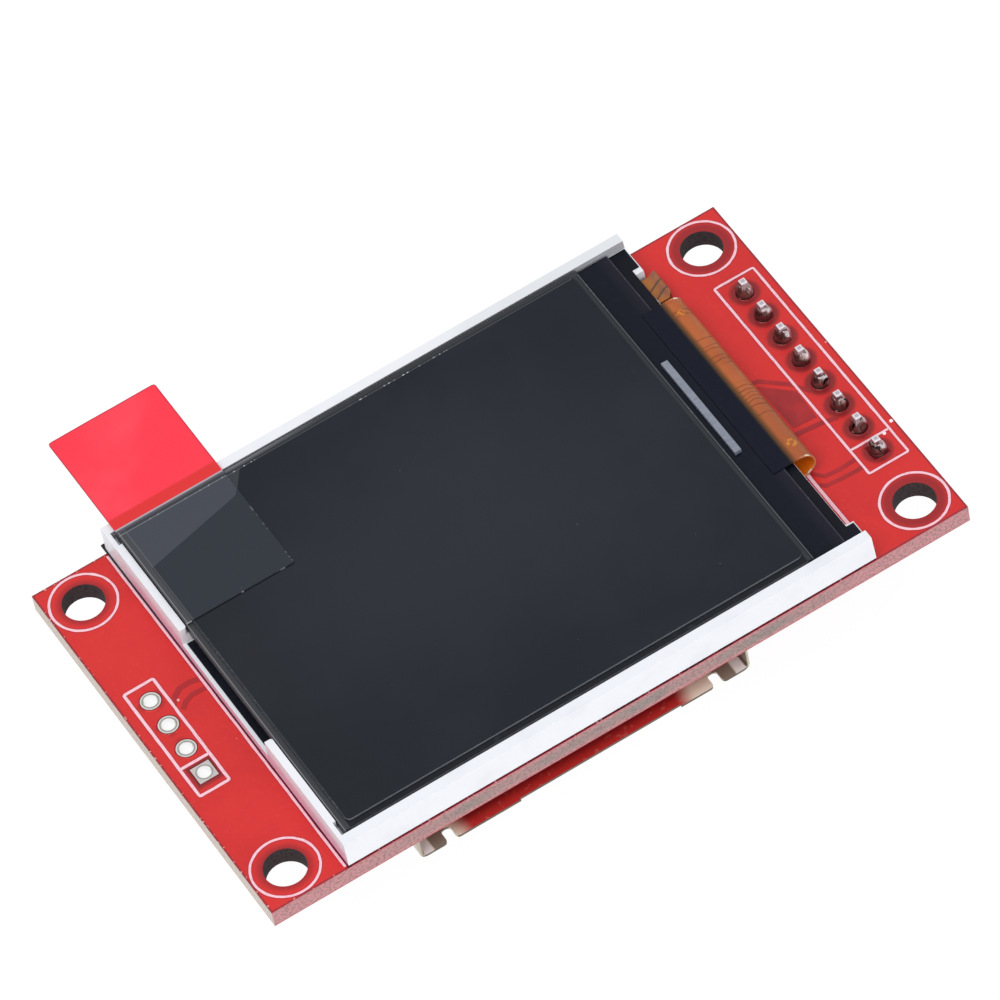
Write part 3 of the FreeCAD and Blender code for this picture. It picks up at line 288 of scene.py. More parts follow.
def mask_halos(paint, mount):
    """Darker mask round the mounting holes, more so at the right, and round the pads of both rows."""
    dulled = paint.less(mount, paint.both(paint.step("x", -1.0, 1.0), 0.4))
    paint.tint((140, 24, 32), paint.step(dulled, 2.3, 1.55), 0.8)
    header = paint.span(paint.row(HEADER_X, HEADER_FIRST_Y), 0.3, 1.14, 0.2)
    paint.tint((118, 24, 30), header, paint.span("y", HEADER_FIRST_Y - 1.4, -HEADER_FIRST_Y + 1.4, 0.1), 0.8)
    bare = paint.span(paint.row(BARE_X, BARE_FIRST_Y), 0.3, 1.1, 0.12)
    in_row = paint.span("y", BARE_FIRST_Y + 0.2, -BARE_FIRST_Y + 1.1, 0.1)
    paint.tint((150, 26, 28), bare, in_row, paint.cloud(0.48, 0.62, 0.9, 2), 0.5)
    paint.tint((112, 26, 32), paint.step(paint.square(BARE_X, BARE_FIRST_Y), 1.3, 0.85), 0.85)


def mask_rims(paint, across, along):
    """The mask's dark and nicked rim, and painted shade on the strips of mask at the display's near and left
    sides.
    """
    rim = paint.maths("MINIMUM", paint.less(BOARD_HIGH.x, across), paint.less(BOARD_HIGH.y, along))
    paint.tint((112, 30, 48), paint.step(rim, 0.2, 0.06), 0.75)
    nicks = paint.cloud(0.58, 0.62, 1.0, 4, (2.6, 2.6, 2.6), 0.7)
    paint.tint((236, 190, 180), paint.step(rim, 0.2, 0.1), paint.step("x", 0.0, -20.0), nicks, 0.8)
    # Painted shade on the strip of mask in front of the display's near wall; the chips and dark dashes laid
    # on it afterwards are its own.
    under = paint.both(paint.step("y", 0.6, 0.35, FRAME_LOW.y),
                       paint.span("x", FRAME_LOW.x, FRAME_HIGH.x, 0.15), paint.step("nz", 0.4, 0.6))
    paint.tint((134, 30, 46), under)
    # Painted shade on the narrow strip between the left outline and the display's left side.
    paint.tint((92, 16, 36), paint.step("x", 0.05, 0.1, LEFT_OUTLINE_X),
               paint.step("x", 0.3, 0.2, FRAME_LOW.x))
    paint.tint((216, 170, 176), under, paint.cloud(0.6, 0.64, 1.0, 3, (2.6, 0.6, 0.6)), 0.8)
    dashes = paint.both(paint.cloud(0.52, 0.56, 1.0, 3, (1.1, 0.4, 0.4)), paint.step("x", -6.0, 0.0))
    paint.tint((52, 30, 34), under, dashes, 0.8)


def mask_edges(paint, mount):
    """Cut edges: a greyer core between red skins, pinker long sides that are partly a painted reflection of
    the red mask, dark clumps and pale fibres, and bores darkened as painted shade.
    """
    edge = paint.step(paint.size("nz"), 0.6, 0.4)
    long_edge = paint.both(edge, paint.step(paint.size("ny"), 0.4, 0.6))
    paint.tint((250, 224, 220), edge)
    paint.tint((226, 218, 206), edge, paint.step("nx", -0.6, -0.8))
    # The long edges pinker: partly their rougher cut, partly a painted reflection of the red mask.
    paint.tint((204, 142, 144), long_edge)
    uneven = paint.spread(paint.cloud(0.38, 0.62, 0.22, 2), 0.6, 1.0)
    core = paint.both(paint.span("z", BOARD_BACK + 0.32, BOARD_TOP - 0.32, 0.26),
                      paint.span("x", -19.0, 17.0, 5.0), uneven)
    paint.tint((152, 140, 134), long_edge, core)
    clumps = paint.cloud(0.47, 0.58, 1.0, 5, (4.4, 4.4, 6.0), 0.75)
    paint.tint((124, 102, 104), edge, clumps, paint.spread(long_edge, 0.25, 0.7))
    paint.tint((214, 196, 192), edge, paint.cloud(0.52, 0.66, 1.0, 4, (11.0, 11.0, 24.0), 0.7), 0.5)
    skins = paint.rest(paint.span("z", BOARD_BACK + 0.1, BOARD_TOP - 0.1, 0.05))
    paint.tint((196, 92, 102), edge, skins, 0.6)
    # Painted shade: the mounting holes' walls near black, darker still in clumps.
    bore = paint.both(edge, paint.step(mount, 0.3, 0.1, MOUNT_RADIUS))
    paint.tint((62, 48, 50), bore)
    paint.tint((38, 28, 32), bore, clumps)
    paint.rough(0.85, edge)


def trace_paint():
    """Solder mask over copper: a darker, smoother red."""
    paint = Paint("mask_over_copper", (160, 32, 38), 0.3, IOR=1.45)
    paint.tint((176, 36, 40), paint.cloud(0.4, 0.7, 0.8))
    paint.tint((174, 30, 36), paint.step("x", 1.0, -1.0))
    return paint.bump(paint.noise(2.5), 0.008)


def ink_paint():
    """Silkscreen ink: slightly uneven pinkish white."""
    paint = Paint("legend_ink", (253, 204, 216), 0.55)
    paint.tint((246, 176, 192), paint.cloud(0.5, 0.75, 4.0, 4))
    return paint.bump(paint.noise(9.0), 0.006)


def ink_edge_shade_paint():
    """Painted shade: a dark band of mask along both edges of the ink."""
    paint = Paint("legend_painted_shade", (156, 34, 44), 0.4)
    paint.tint((186, 36, 42), paint.cloud(0.45, 0.7, 3.0))
    return paint.material


def via_paint():
    """Mask that thins over a via, with a painted highlight: white near the header's first pin, faint at the
    right edge.
    """
    paint = Paint("tented_via", (240, 150, 156), 0.3)
    paint.tint((250, 232, 232), paint.cloud(0.4, 0.7, 3.0))
    # Painted highlight: the vias near the header's first pin made white.
    paint.tint((255, 246, 242), paint.step("y", 0.0, -1.0))
    paint.tint((222, 80, 84), paint.step("x", 0.0, 1.0), paint.step("y", 0.0, 1.0), 0.7)
    return paint.material


def tin_paint(name, colour, dark):
    """Tinned copper: pale with dull flow marks, brighter down its holes, and under flux at the header."""
    paint = Paint(name, colour, 0.3, Metallic=1.0)
    paint.tint(dark, paint.cloud(0.5, 0.72, 2.4, 4), 0.7)
    hole, square = paint.row(BARE_X, BARE_FIRST_Y), paint.square(BARE_X, BARE_FIRST_Y)
    in_square = paint.step(square, 1.0, 0.95)
    paint.tint((140, 138, 136), paint.near(hole, 0.6, 0.05, 0.04), 0.8)
    paint.tint((216, 210, 208), in_square, paint.step(hole, 0.62, 0.66))
    reach = paint.maths("MINIMUM", paint.total(hole, in_square),
                        paint.total(square, paint.step(square, 0.95, 1.0)))
    overlap = paint.both(paint.step(reach, 0.75, 0.78), paint.step(reach, 0.95, 0.9),
                         paint.step("x", -20.0, -21.0))
    paint.tint((122, 26, 30), overlap)
    fluxed = paint.step("x", 20.0, 21.0)
    paint.tint((74, 30, 34), fluxed)
    first_end = HEADER_FIRST_Y + PITCH / 2
    paint.tint((136, 36, 46), fluxed, paint.step("y", 0.1, -0.1, first_end))
    paint.rough(0.6, paint.most(overlap, fluxed))
    paint.rough(0.42, paint.cloud(0.4, 0.7, 5.0))
    barrel = paint.step(paint.size("nz"), 0.6, 0.4)
    paint.tint((250, 250, 250), barrel)
    paint.rough(0.12, barrel)
    return paint.bump(paint.noise(4.0), 0.008)


def solder_paint():
    """Solder under brown flux, pitted, with a painted highlight and glints on the side facing +x and up,
    painted shade on the side facing -x, and darker at its foot.
    """
    paint = Paint("fluxed_solder_with_painted_light", (150, 124, 120), 0.2, Metallic=0.8)
    paint.tint((112, 80, 78), paint.cloud(0.42, 0.58, 0.9, 1))
    # Painted highlight on the side facing +x and up, broken up by noise.
    lit = paint.maths("MULTIPLY_ADD", "nx", 0.8, "nz")
    bright = paint.step(paint.total(lit, paint.spread(paint.noise(1.1, 1), -0.4, 0.4)), 0.6, 0.8)
    paint.tint((206, 200, 204), bright)
    # Painted shade on the side facing -x.
    paint.tint((84, 54, 56), paint.step("nx", -0.2, -0.7), 0.5)
    paint.tint((16, 10, 12), paint.cloud(0.63, 0.66, 1.3, 1), paint.step("nz", 0.8, 0.65))
    # Painted glints on the highlight.
    paint.tint((255, 250, 252), paint.cloud(0.68, 0.71, 2.4, 1), bright)
    foot = paint.step("z", 0.16, 0.06, COPPER_TOP)
    paint.tint((84, 48, 50), foot, 0.7)
    # Painted glints at the foot.
    paint.tint((250, 232, 238), foot, paint.cloud(0.64, 0.67, 2.2, 1))
    return paint.bump(paint.noise(1.1, 2), 0.02)


def pin_paint():
    """Plated pin: bright metal with fine draw marks along it."""
    paint = Paint("plated_pin", (226, 226, 228), 0.24, Metallic=1.0)
    paint.tint((184, 180, 178), paint.cloud(0.45, 0.75, 1.0, 3, (9.0, 9.0, 0.4)), 0.5)
    return paint.bump(paint.noise(1.0, 3, (14.0, 14.0, 0.6)), 0.002)


def pin_end_paint():
    """Tinned end of a pin: grey in its middle with a painted highlight along its edges, and down its sides a
    painted reflection of the red mask, painted shade on the side facing -x and dark stains in patches.
    """
    paint = Paint("tinned_pin_end", (182, 174, 182), 0.3)
    across = paint.size(paint.less("x", HEADER_X))
    # Painted highlight along the edges of the end.
    paint.tint((232, 226, 232), paint.step(paint.most(across, paint.along_row(HEADER_FIRST_Y)), 0.1, 0.2))
    side = paint.step("z", -0.04, -0.12, PIN_HIGH.z)
    # Down the sides: pinkish grey as a painted reflection of the red mask, then painted shade on the side
    # facing -x.
    paint.tint((166, 152, 156), side)
    paint.tint((128, 98, 100), side, paint.step("nx", -0.4, -0.8))
    paint.tint((92, 66, 68), side, paint.cloud(0.5, 0.58, 1.6, 2))
    return paint.bump(paint.noise(3.0), 0.01)


def moulded_paint(name, colour, shade, shine=0.5):
    """Moulded plastic: a faint cloudy shade and a fine tool texture."""
    roughness = 0.45
    paint = Paint(name, colour, roughness, Specular_IOR_Level=shine)
    paint.tint(shade, paint.cloud(0.4, 0.75, 0.35, 4))
    paint.rough(roughness + 0.12, paint.cloud(0.4, 0.7, 3.0))
    return paint.bump(paint.noise(12.0), 0.006)


def frame_paint():
    """Glossy white moulding: its left face a cooler white, red low down as painted bounce light from the
    board; its far wall grey as painted shade, on its inner face and a little on its top.
    """
    paint = Paint("white_moulding", (240, 242, 247), 0.3)
    paint.tint((232, 234, 240), paint.cloud(0.45, 0.8, 0.3, 4))
    scratch = paint.cloud(0.71, 0.76, 1.0, 2, (0.5, 5.0, 16.0))
    paint.tint((206, 206, 212), scratch, 0.35)
    left_face = paint.both(paint.step("nx", -0.6, -0.8), paint.step("x", 0.4, 0.2, FRAME_LOW.x))
    # Painted red bounce light from the board, strongest low down and towards the near end.
    red_bounce = paint.both(paint.step("y", -0.5, -5.5, FRAME_HIGH.y),
                          paint.step("z", FRAME_HIGH.z - 0.5, FRAME_LOW.z + 0.5))
    paint.tint((238, 250, 255), left_face)
    paint.tint((226, 178, 204), left_face, red_bounce)
    far_wall = paint.step("y", -1.2, -1.0, FRAME_HIGH.y)
    # Painted shade on the far wall's inner face, lighter towards its right end.
    inner = paint.both(paint.step("ny", -0.6, -0.8), far_wall)
    paint.tint((128, 130, 138), inner, 0.8)
    paint.tint((196, 198, 204), inner, paint.step("x", 14.0, 20.0), 0.8)
    # Painted shade: the far wall's top a little greyer towards its right.
    paint.tint((229, 232, 235), paint.step("nz", 0.6, 0.8), far_wall, paint.step("x", 3.0, 13.0))
    paint.rough(0.4, paint.cloud(0.4, 0.7, 2.0))
    return paint.bump(paint.noise(6.0), 0.006)


def lifted(paint, y="y"):
    """1 where the pulled tab has lifted the film off the display, beyond a bent front."""
    shallow = paint.maths("MULTIPLY_ADD", "x", 0.238, 16.78)
    steep = paint.maths("MULTIPLY_ADD", "x", 1.38, 31.93)
    front = paint.maths("SMOOTH_MAX", shallow, steep, 0.5)
    return paint.both(paint.step(paint.less(y, front), -0.06, 0.06),
                      paint.step(y, -0.05, -0.15, FILM_HIGH.y))


def dotted(paint, across, middle, faint=0.12):
    """A painted highlight along a cut edge: a thin line over x or y with a few bright dashes in clusters as
    glints.
    """
    along = [letter not in (across, "z") for letter in "xyz"]
    dots = paint.cloud(0.54, 0.6, 1.0, 3, tuple(3.2 if way else 0.2 for way in along))
    clusters = paint.cloud(0.5, 0.58, 1.0, 1, tuple(0.23 if way else 0.1 for way in along))
    bright = paint.spread(paint.both(dots, clusters), faint, 1.0)
    return paint.both(paint.near(across, middle, 0.04, 0.03), bright)


def screen_paint():
    """Clear film over the dark display: a painted reflection that lightens its middle and darkens towards
    both ends, dust, and painted glints along its edges.
    """
    paint = Paint("film_over_display", (22, 29, 38), 0.16, Specular_IOR_Level=0.22)
    # Painted reflection: lighter round the middle, darker towards both ends.
    reflection_reach = paint.distance(paint.both("x", 0.55), "y", -1.5, 1.0)
    paint.tint((36, 40, 49), paint.step(reflection_reach, 15.0, 2.0))
    paint.tint((42, 46, 54), paint.cloud(0.4, 0.75, 0.12), 0.3)
    paint.tint((26, 27, 30), paint.step(paint.size("x"), 12.0, 19.5), 0.3)
    paint.tint((62, 65, 70), lifted(paint), 0.8)
    paint.tint((120, 124, 130), paint.specks(0.9, 0.05), paint.cloud(0.5, 0.6, 0.4, 2), 0.5)
    # Painted highlight with glints along the film's far and left edges, and on its cut sides.
    paint.tint((206, 210, 214), dotted(paint, "y", FILM_HIGH.y - 0.12), 0.8)
    paint.tint((130, 134, 138), dotted(paint, "x", FILM_LOW.x + 0.08, 0.4), 0.35)
    paint.tint((150, 154, 160), paint.step("nz", 0.6, 0.4), 0.8)
    paint.rough(0.24, paint.cloud(0.5, 0.8, 0.7, 4))
    return paint.bump(paint.noise(0.25), 0.01)


def glass_paint(name, colour, edge_colour, clouded=0.3):
    """Dark display glass whose cut edges catch the light as painted highlight, those facing -x painted dark
    as shade.
    """
    paint = Paint(name, colour, 0.08, IOR=1.5, Specular_IOR_Level=0.12)
    edge = paint.step(paint.size("nz"), 0.6, 0.4)
    paint.tint(edge_colour, edge, paint.spread(paint.noise(1.2, 4), 0.3, 0.9))
    paint.tint((62, 68, 80), paint.cloud(0.55, 0.75, 1.5, 4), clouded)
    # Painted shade on the cut edges facing -x.
    paint.tint((26, 28, 32), paint.step("nx", -0.6, -0.8), 0.9)
    paint.rough(0.3, edge)
    paint.bump(paint.noise(0.8, 2), 0.004)
    return paint


def margin_paint():
    """The upper glass, whose bare margin round the film looks grey from the sheets under it."""
    paint = glass_paint("filter_glass_plate", (30, 33, 38), (120, 124, 130))
    paint.tint((64, 66, 70), paint.step("x", 0.03, -0.03, FILM_LOW.x))
    paint.tint((150, 152, 156), paint.near("x", GLASS_LOW.x + 0.07, 0.03, 0.03), 0.7)
    paint.tint((54, 58, 62), paint.step("x", -0.03, 0.03, FILM_HIGH.x))
    paint.tint((26, 29, 32), paint.near("x", GLASS_HIGH.x - 0.14, 0.03, 0.02))
    # Painted highlight with glints along the glass's right edge.
    paint.tint((112, 116, 122), dotted(paint, "x", GLASS_HIGH.x - 0.05, 0.55), 0.8)
    paint.tint((60, 62, 66), paint.step("y", -0.02, 0.06, FILM_HIGH.y))
    paint.tint((116, 118, 124), paint.step("y", -0.4, 0.0, GLASS_HIGH.y), paint.step("x", -3.0, -11.0))
    return paint.material


def ledge_paint():
    """The lower glass: near black with a blue cast, and a dotted glint along its cut end."""
    paint = glass_paint("array_glass_plate", (19, 23, 35), (48, 58, 66), 0.06)
    paint.tint((42, 38, 50), paint.step("x", -1.3, -0.1, LEDGE_END), 0.5)
    paint.tint((94, 92, 104), dotted(paint, "x", LEDGE_END - 0.05, 0.5), 0.7)
    return paint.material


AMBER_RADIUS = (1.0, 0.45, 0.12)
RIBBON_LINE_GROUPS = ((2.7, 5.8, 0.15), (-2.9, 0.6, 0.15), (8.2, 9.0, 0.1))
ROLL_X = FRAME_HIGH.x - 0.29


def ribbon_paint():
    """Amber flexible circuit: dark where it lies on the glass, with groups of lines over its roll."""
    paint = Paint("amber_circuit", (188, 102, 56), 0.34, Subsurface_Weight=0.2, Subsurface_Scale=0.0004,
                  Subsurface_Radius=AMBER_RADIUS)
    paint.tint((172, 90, 48), paint.cloud(0.4, 0.75, 0.35, 4))
    paint.tint((166, 90, 54), paint.step("y", 1.0, -4.0), 0.7)
    bowed = paint.total("y", paint.spread(paint.noise(0.5, 2), -0.35, 0.35))
    lines = paint.step(paint.maths("PINGPONG", bowed, 0.21), 0.15, 0.19)
    lines = paint.both(lines, paint.total(*(paint.span("y", *group) for group in RIBBON_LINE_GROUPS)))
    paint.tint((96, 48, 32), lines, paint.cloud(0.34, 0.46, 1.0, 2, (0.3, 1.4, 0.3)), 0.7)
    smudges = paint.most(paint.step(paint.distance("x", "y", 21.3, RIBBON_LOW.y + 1.6), 0.42, 0.36),
                         paint.step(paint.distance("x", "y", 21.2, RIBBON_HIGH.y - 1.5), 0.34, 0.28))
    paint.tint((222, 148, 40), smudges, paint.cloud(0.46, 0.54, 3.0, 2), 0.7)
    paint.tint((104, 68, 34), paint.step("x", 20.9, 20.5))
    lying = paint.step("x", 20.6, 20.2)
    paint.tint((23, 27, 39), lying)
    paint.put(paint.shader, "Specular IOR Level", paint.spread(lying, 0.25, 0.08))
    ribbon_roll(paint)
    grain = paint.total(paint.both(lines, 0.6), paint.noise(2.0))
    return paint.bump(paint.both(grain, paint.rest(lying)), 0.012)


def ribbon_roll(paint):
    """The ribbon's inner side painted bright orange as light shining through the amber, and its cut ends with
    a painted highlight round their rim and a glint on top.
    """
    # Painted light: the roll's inner side bright orange, as if lit through the amber.
    turned = paint.total(paint.both("nx", paint.less("x", ROLL_X)),
                         paint.both("nz", paint.less("z", RIBBON_MIDDLE.z)))
    paint.tint((226, 118, 14), paint.step(turned, 0.0, -0.1), paint.step("x", 20.4, 20.6))
    half = RIBBON_HIGH.y - RIBBON_MIDDLE.y
    ends = paint.step(paint.size(paint.less("y", RIBBON_MIDDLE.y)), half - 0.16, half - 0.06)
    # Painted highlight round the cut ends' rim.
    paint.tint((240, 196, 150), ends, paint.step("x", 20.9, 21.2), 0.25)
    paint.tint((255, 246, 236), ends, paint.near("x", 21.6, 0.16, 0.06), paint.step("nz", 0.2, 0.5))


def flex_paint():
    """Brown amber flexible circuit of the lamps, with two dark conductors running slantwise."""
    paint = Paint("orange_circuit", (168, 98, 48), 0.32, Subsurface_Weight=0.2, Subsurface_Scale=0.0006,
                  Subsurface_Radius=AMBER_RADIUS)
    paint.tint((140, 84, 56), paint.cloud(0.4, 0.7, 0.8))
    paint.tint((190, 116, 26), paint.step("x", -0.4, -1.6, LAMP_TAIL_END), 0.8)
    slant = paint.maths("MULTIPLY_ADD", "x", -0.56, "y")
    conductors = paint.total(paint.near(slant, 0.59, 0.08, 0.04), paint.near(slant, -0.27, 0.08, 0.04))
    paint.tint((60, 46, 44), conductors, 0.85)
    paint.tint((96, 62, 48), paint.near(slant, -0.05, 0.03, 0.03), 0.5)
    return paint.bump(paint.noise(3.0), 0.01)


def tab_paint():
    """Pull tab: clear over the film and red beyond it, with a darker band where it crosses the frame."""
    paint = Paint("pull_tab_strip", (255, 60, 78), 0.34, Specular_IOR_Level=0.25)
    paint.tint((255, 74, 90), paint.cloud(0.42, 0.7, 0.18))
    rim = paint.most(paint.step("x", 0.08, 0.04, TAB_LOW.x),
                     paint.step("x", -0.12, -0.06, TAB_HIGH.x),
                     paint.step("y", -0.12, -0.06, TAB_HIGH.y))
    paint.tint((186, 34, 62), rim, 0.85)
    paint.tint((226, 52, 54), paint.step("y", 0.12, -0.12, FRAME_HIGH.y))
    clear = paint.step("y", 0.02, -0.02, GLASS_HIGH.y)
    tab_over_glass(paint, clear)
    tab_near_edges(paint, clear)
    paint.tint((150, 140, 150), paint.specks(0.9, 0.04), paint.cloud(0.46, 0.56, 0.4, 2), 0.5)
    paint.rough(0.2, clear)
    return paint.bump(paint.noise(0.2, 2), 0.06)


def tab_over_glass(paint, clear):
    """What shows through the clear end: the glass margins, the film and its lifted patch, and painted glints
    along the film's edges.
    """
    paint.tint((176, 168, 178), clear)
    paint.tint((92, 92, 100), paint.step("y", -0.1, -0.16, GLASS_HIGH.y))
    on_film = paint.step("y", -0.24, -0.36, GLASS_HIGH.y)
    paint.tint((60, 62, 68), on_film)
    paint.tint((42, 48, 57), paint.step("y", 0.02, -0.06, FILM_HIGH.y))
    patch = lifted(paint)
    paint.tint((66, 70, 80), on_film, patch)
    paint.tint((24, 27, 32), on_film, lifted(paint, paint.total("y", 0.05)), paint.rest(patch), 0.6)
    paint.tint((70, 72, 76), on_film, paint.step("x", 0.03, -0.03, FILM_LOW.x))
    paint.tint((150, 150, 156), on_film, paint.near("x", GLASS_LOW.x + 0.12, 0.03, 0.03), 0.7)
    # Painted highlight with glints along the film's far and left edges.
    paint.tint((196, 198, 202), dotted(paint, "y", FILM_HIGH.y - 0.12, 0.35), 0.7)
    paint.tint((150, 146, 146), on_film, dotted(paint, "x", FILM_LOW.x + 0.1, 0.5), 0.4)


def tab_near_edges(paint, clear):
    """A dark line with glints along the tab's near edge, and sparkle down its right one."""
    near_line = paint.step("y", 0.09, 0.04, TAB_LOW.y)
    paint.tint((22, 25, 30), near_line, 0.8)
    paint.tint((116, 120, 126), near_line, paint.cloud(0.6, 0.66, 1.0, 2, (1.2, 0.4, 0.4)))
    paint.tint((150, 152, 156), near_line, paint.step("x", 0.5, 0.4, TAB_LOW.x))
    side = paint.both(clear, paint.step("x", -0.12, -0.05, TAB_HIGH.x))
    paint.tint((120, 124, 132), side, paint.cloud(0.56, 0.62, 1.0, 3, (1.0, 3.0, 1.0)), 0.6)


def chip_paint():
    """Bare silicon: a pale, almost mirror-like back with saw marks."""
    paint = Paint("silicon", (142, 148, 162), 0.3, Metallic=0.25)
    paint.tint((122, 128, 142), paint.cloud(0.4, 0.7, 1.0, 3, (2.0, 14.0, 2.0)))
    return paint.bump(paint.noise(1.0, 2, (3.0, 18.0, 3.0)), 0.004)


def shell_paint():
    """Nickel plated sheet: warm grey metal with rolled grain; inside its mouth a painted reflection, cream
    and of the red board, with painted shade deeper in.
    """
    paint = Paint("nickel_sheet", (206, 196, 178), 0.28, Metallic=1.0)
    paint.tint((197, 187, 170), paint.cloud(0.4, 0.75, 1.0, 3, (0.4, 9.0, 0.4)))
    paint.tint((176, 166, 150), paint.cloud(0.5, 0.75, 0.15, 2), 0.4)
    paint.tint((152, 142, 128), paint.cloud(0.7, 0.73, 1.0, 1, (0.3, 7.0, 0.3)), 0.5)
    # Painted reflection on the inner face near the mouth, made non-metal there: cream at the sides, the red
    # board in the middle, and painted shade deeper in.
    inside = paint.both(paint.step("nz", 0.5, 0.7), paint.step("z", 0.35, 0.25, SHELL_LOW.z),
                        paint.step("y", 5.0, 3.0, SHELL_LOW.y))
    deep = paint.step("y", 0.3, 1.5, SHELL_LOW.y)
    paint.tint((255, 252, 230), inside)
    paint.tint((190, 176, 146), inside, deep, 0.4)
    red = paint.both(inside, paint.span("x", -13.4, 5.2, 0.8))
    paint.tint((206, 58, 54), red)
    paint.tint((240, 150, 140), red, paint.cloud(0.6, 0.66, 2.2), 0.3)
    paint.tint((112, 20, 26), red, deep, 0.9)
    shell_hooks(paint)
    cut_edge = paint.both(paint.step("ny", -0.6, -0.8), paint.step("z", 0.3, 0.2, SHELL_LOW.z))
    paint.tint((92, 80, 72), cut_edge, 0.9)
    paint.put(paint.shader, "Metallic", paint.rest(inside))
    paint.rough(0.4, paint.cloud(0.45, 0.7, 0.9, 4))
    return paint.bump(paint.noise(1.0, 3, (1.0, 9.0, 1.0)), 0.006)


def shell_hooks(paint):
    """The mouth's two corner hooks: painted shade along the fold by the side wall, a painted highlight
    stripe, then brown.
    """
    gap = paint.less(SHELL_HIGH.x - SHELL_MIDDLE, paint.size(paint.less("x", SHELL_MIDDLE)))
    hook = paint.both(paint.step("y", 1.5, 1.3, SHELL_LOW.y), paint.step("nz", -0.2, 0.2))
    paint.tint((255, 255, 250), hook, paint.near(gap, 1.68, 0.4, 0.1))
    paint.tint((118, 102, 86), hook, paint.span(gap, 2.15, 3.6, 0.08), 0.85)
    paint.tint((70, 62, 56), hook, paint.near(gap, 1.2, 0.05, 0.03), 0.9)


def gold_paint():
    """Gold flashed contacts."""
    paint = Paint("gold_contact", (226, 186, 106), 0.26, Metallic=1.0)
    paint.tint((198, 156, 84), paint.cloud(0.45, 0.7, 1.5, 4))
    return paint.bump(paint.noise(1.0, 3, (9.0, 1.0, 1.0)), 0.006)


def foam_paint():
    """Black foam tape with an open, matt cut edge, and painted red bounce light from the board at the
    display's left side.
    """
    paint = Paint("foam_tape", (26, 25, 27), 0.9)
    paint.tint((46, 44, 46), paint.cloud(0.45, 0.7, 5.0, 4))
    # Painted red bounce light from the board on the foam's left end.
    paint.tint((84, 18, 34), paint.step("x", 0.0, -0.05, FRAME_LOW.x), paint.step("y", 11.0, 6.0), 0.8)
    return paint.bump(paint.noise(7.0, 4), 0.03)


def optics_paint(name, colour):
    """One of the backlight's clear or milky sheets."""
    paint = Paint(name, colour, 0.25)
    paint.tint((226, 228, 232), paint.cloud(0.4, 0.7, 0.6))
    return paint.bump(paint.noise(1.0, 2, (1.0, 14.0, 1.0)), 0.006)


def ceramic_paint(name, colour, shade):
    """Fired ceramic of a small part."""
    paint = Paint(name, colour, 0.5)
    paint.tint(shade, paint.cloud(0.4, 0.7, 3.0, 4))
    return paint.bump(paint.noise(8.0), 0.01)


def dress(material, *names):
    """Give carried-over nodes their material."""
    for name in names:
        node = frame["nodes"][name]
        if not node.material_slots:
            node.data.materials.append(material)
        for slot in node.material_slots:
            slot.material = material


SOLDER = solder_paint()
TAB = tab_paint()
TRACE = trace_paint()
INK = ink_paint()
dress(mask_paint(), "circuit_board")
dress(tin_paint("tinned_copper", (232, 231, 228), (204, 202, 198)),
      "header_pads", "bare_hole_pads", "component_pads")
dress(tin_paint("reflowed_solder", (206, 206, 208), (160, 160, 164)), "ribbon_solder", "contact_solder",
      "shell_solder", "resistor_ends", "capacitor_ends", "regulator_leads")
dress(SOLDER, "solder_joints")
dress(pin_paint(), "header_pins")
dress(moulded_paint("black_moulding", (30, 30, 32), (40, 40, 43)),
      "header_strip", "sd_housing", "regulator_body")
dress(moulded_paint("black_film_tape", (12, 15, 25), (18, 21, 32), 0.15), "black_tape")
dress(frame_paint(), "backlight_frame")
dress(optics_paint("white_reflector", (240, 240, 242)), "reflector_sheet", "diffuser_sheet")
dress(optics_paint("clear_light_guide", (214, 220, 226)),
      "light_guide", "lower_prism_sheet", "upper_prism_sheet")
dress(optics_paint("lamp_phosphor", (240, 226, 150)), "backlight_lamps")
dress(flex_paint(), "lamp_circuit")
dress(glass_paint("polarizer_sheet", (32, 35, 41), (120, 124, 130)).material,
      "rear_polarizer", "front_polarizer")
dress(ledge_paint(), "array_glass")
dress(margin_paint(), "filter_glass")
dress(screen_paint(), "protective_film")
dress(TAB, "pull_tab")
dress(chip_paint(), "driver_chip")
dress(ribbon_paint(), "display_ribbon")
dress(foam_paint(), "adhesive_strips")
dress(shell_paint(), "sd_shell")
dress(gold_paint(), "sd_contacts", "detect_contacts")
dress(ceramic_paint("resistor_glaze", (28, 28, 30), (44, 44, 46)), "resistor_bodies")
dress(ceramic_paint("capacitor_ceramic", (168, 136, 104), (148, 116, 86)), "capacitor_bodies")


# Meshes

def piece(name, mesh, material, replaced=()):
    """A finished mesh as a piece that rides on the part. Its points are millimetres."""
    bmesh.ops.scale(mesh, vec=(MM, MM, MM), verts=mesh.verts)
    bmesh.ops.recalc_face_normals(mesh, faces=mesh.faces)
    data = bpy.data.meshes.new(name)
    mesh.to_mesh(data)
    mesh.free()
    data.materials.append(material)
    thing = bpy.data.objects.new(name, data)
    bpy.context.scene.collection.objects.link(thing)
    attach(thing, "root")
    if replaced:
        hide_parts(*replaced)
    return thing


def smooth(thing):
    """Shade the whole piece as one soft surface."""
    for polygon in thing.data.polygons:
        polygon.use_smooth = True


def skin(mesh, rows):
    """A closed body from rings of points, one over the other, each with as many points."""
    rings = [[mesh.verts.new(point) for point in row] for row in rows]
    mesh.faces.new(reversed(rings[0]))
    mesh.faces.new(rings[-1])
    for low, high in zip(rings, rings[1:]):
        for side in range(len(low)):
            following = (side + 1) % len(low)
            mesh.faces.new((low[side], low[following], high[following], high[side]))


MITRE_LIMIT = 0.35


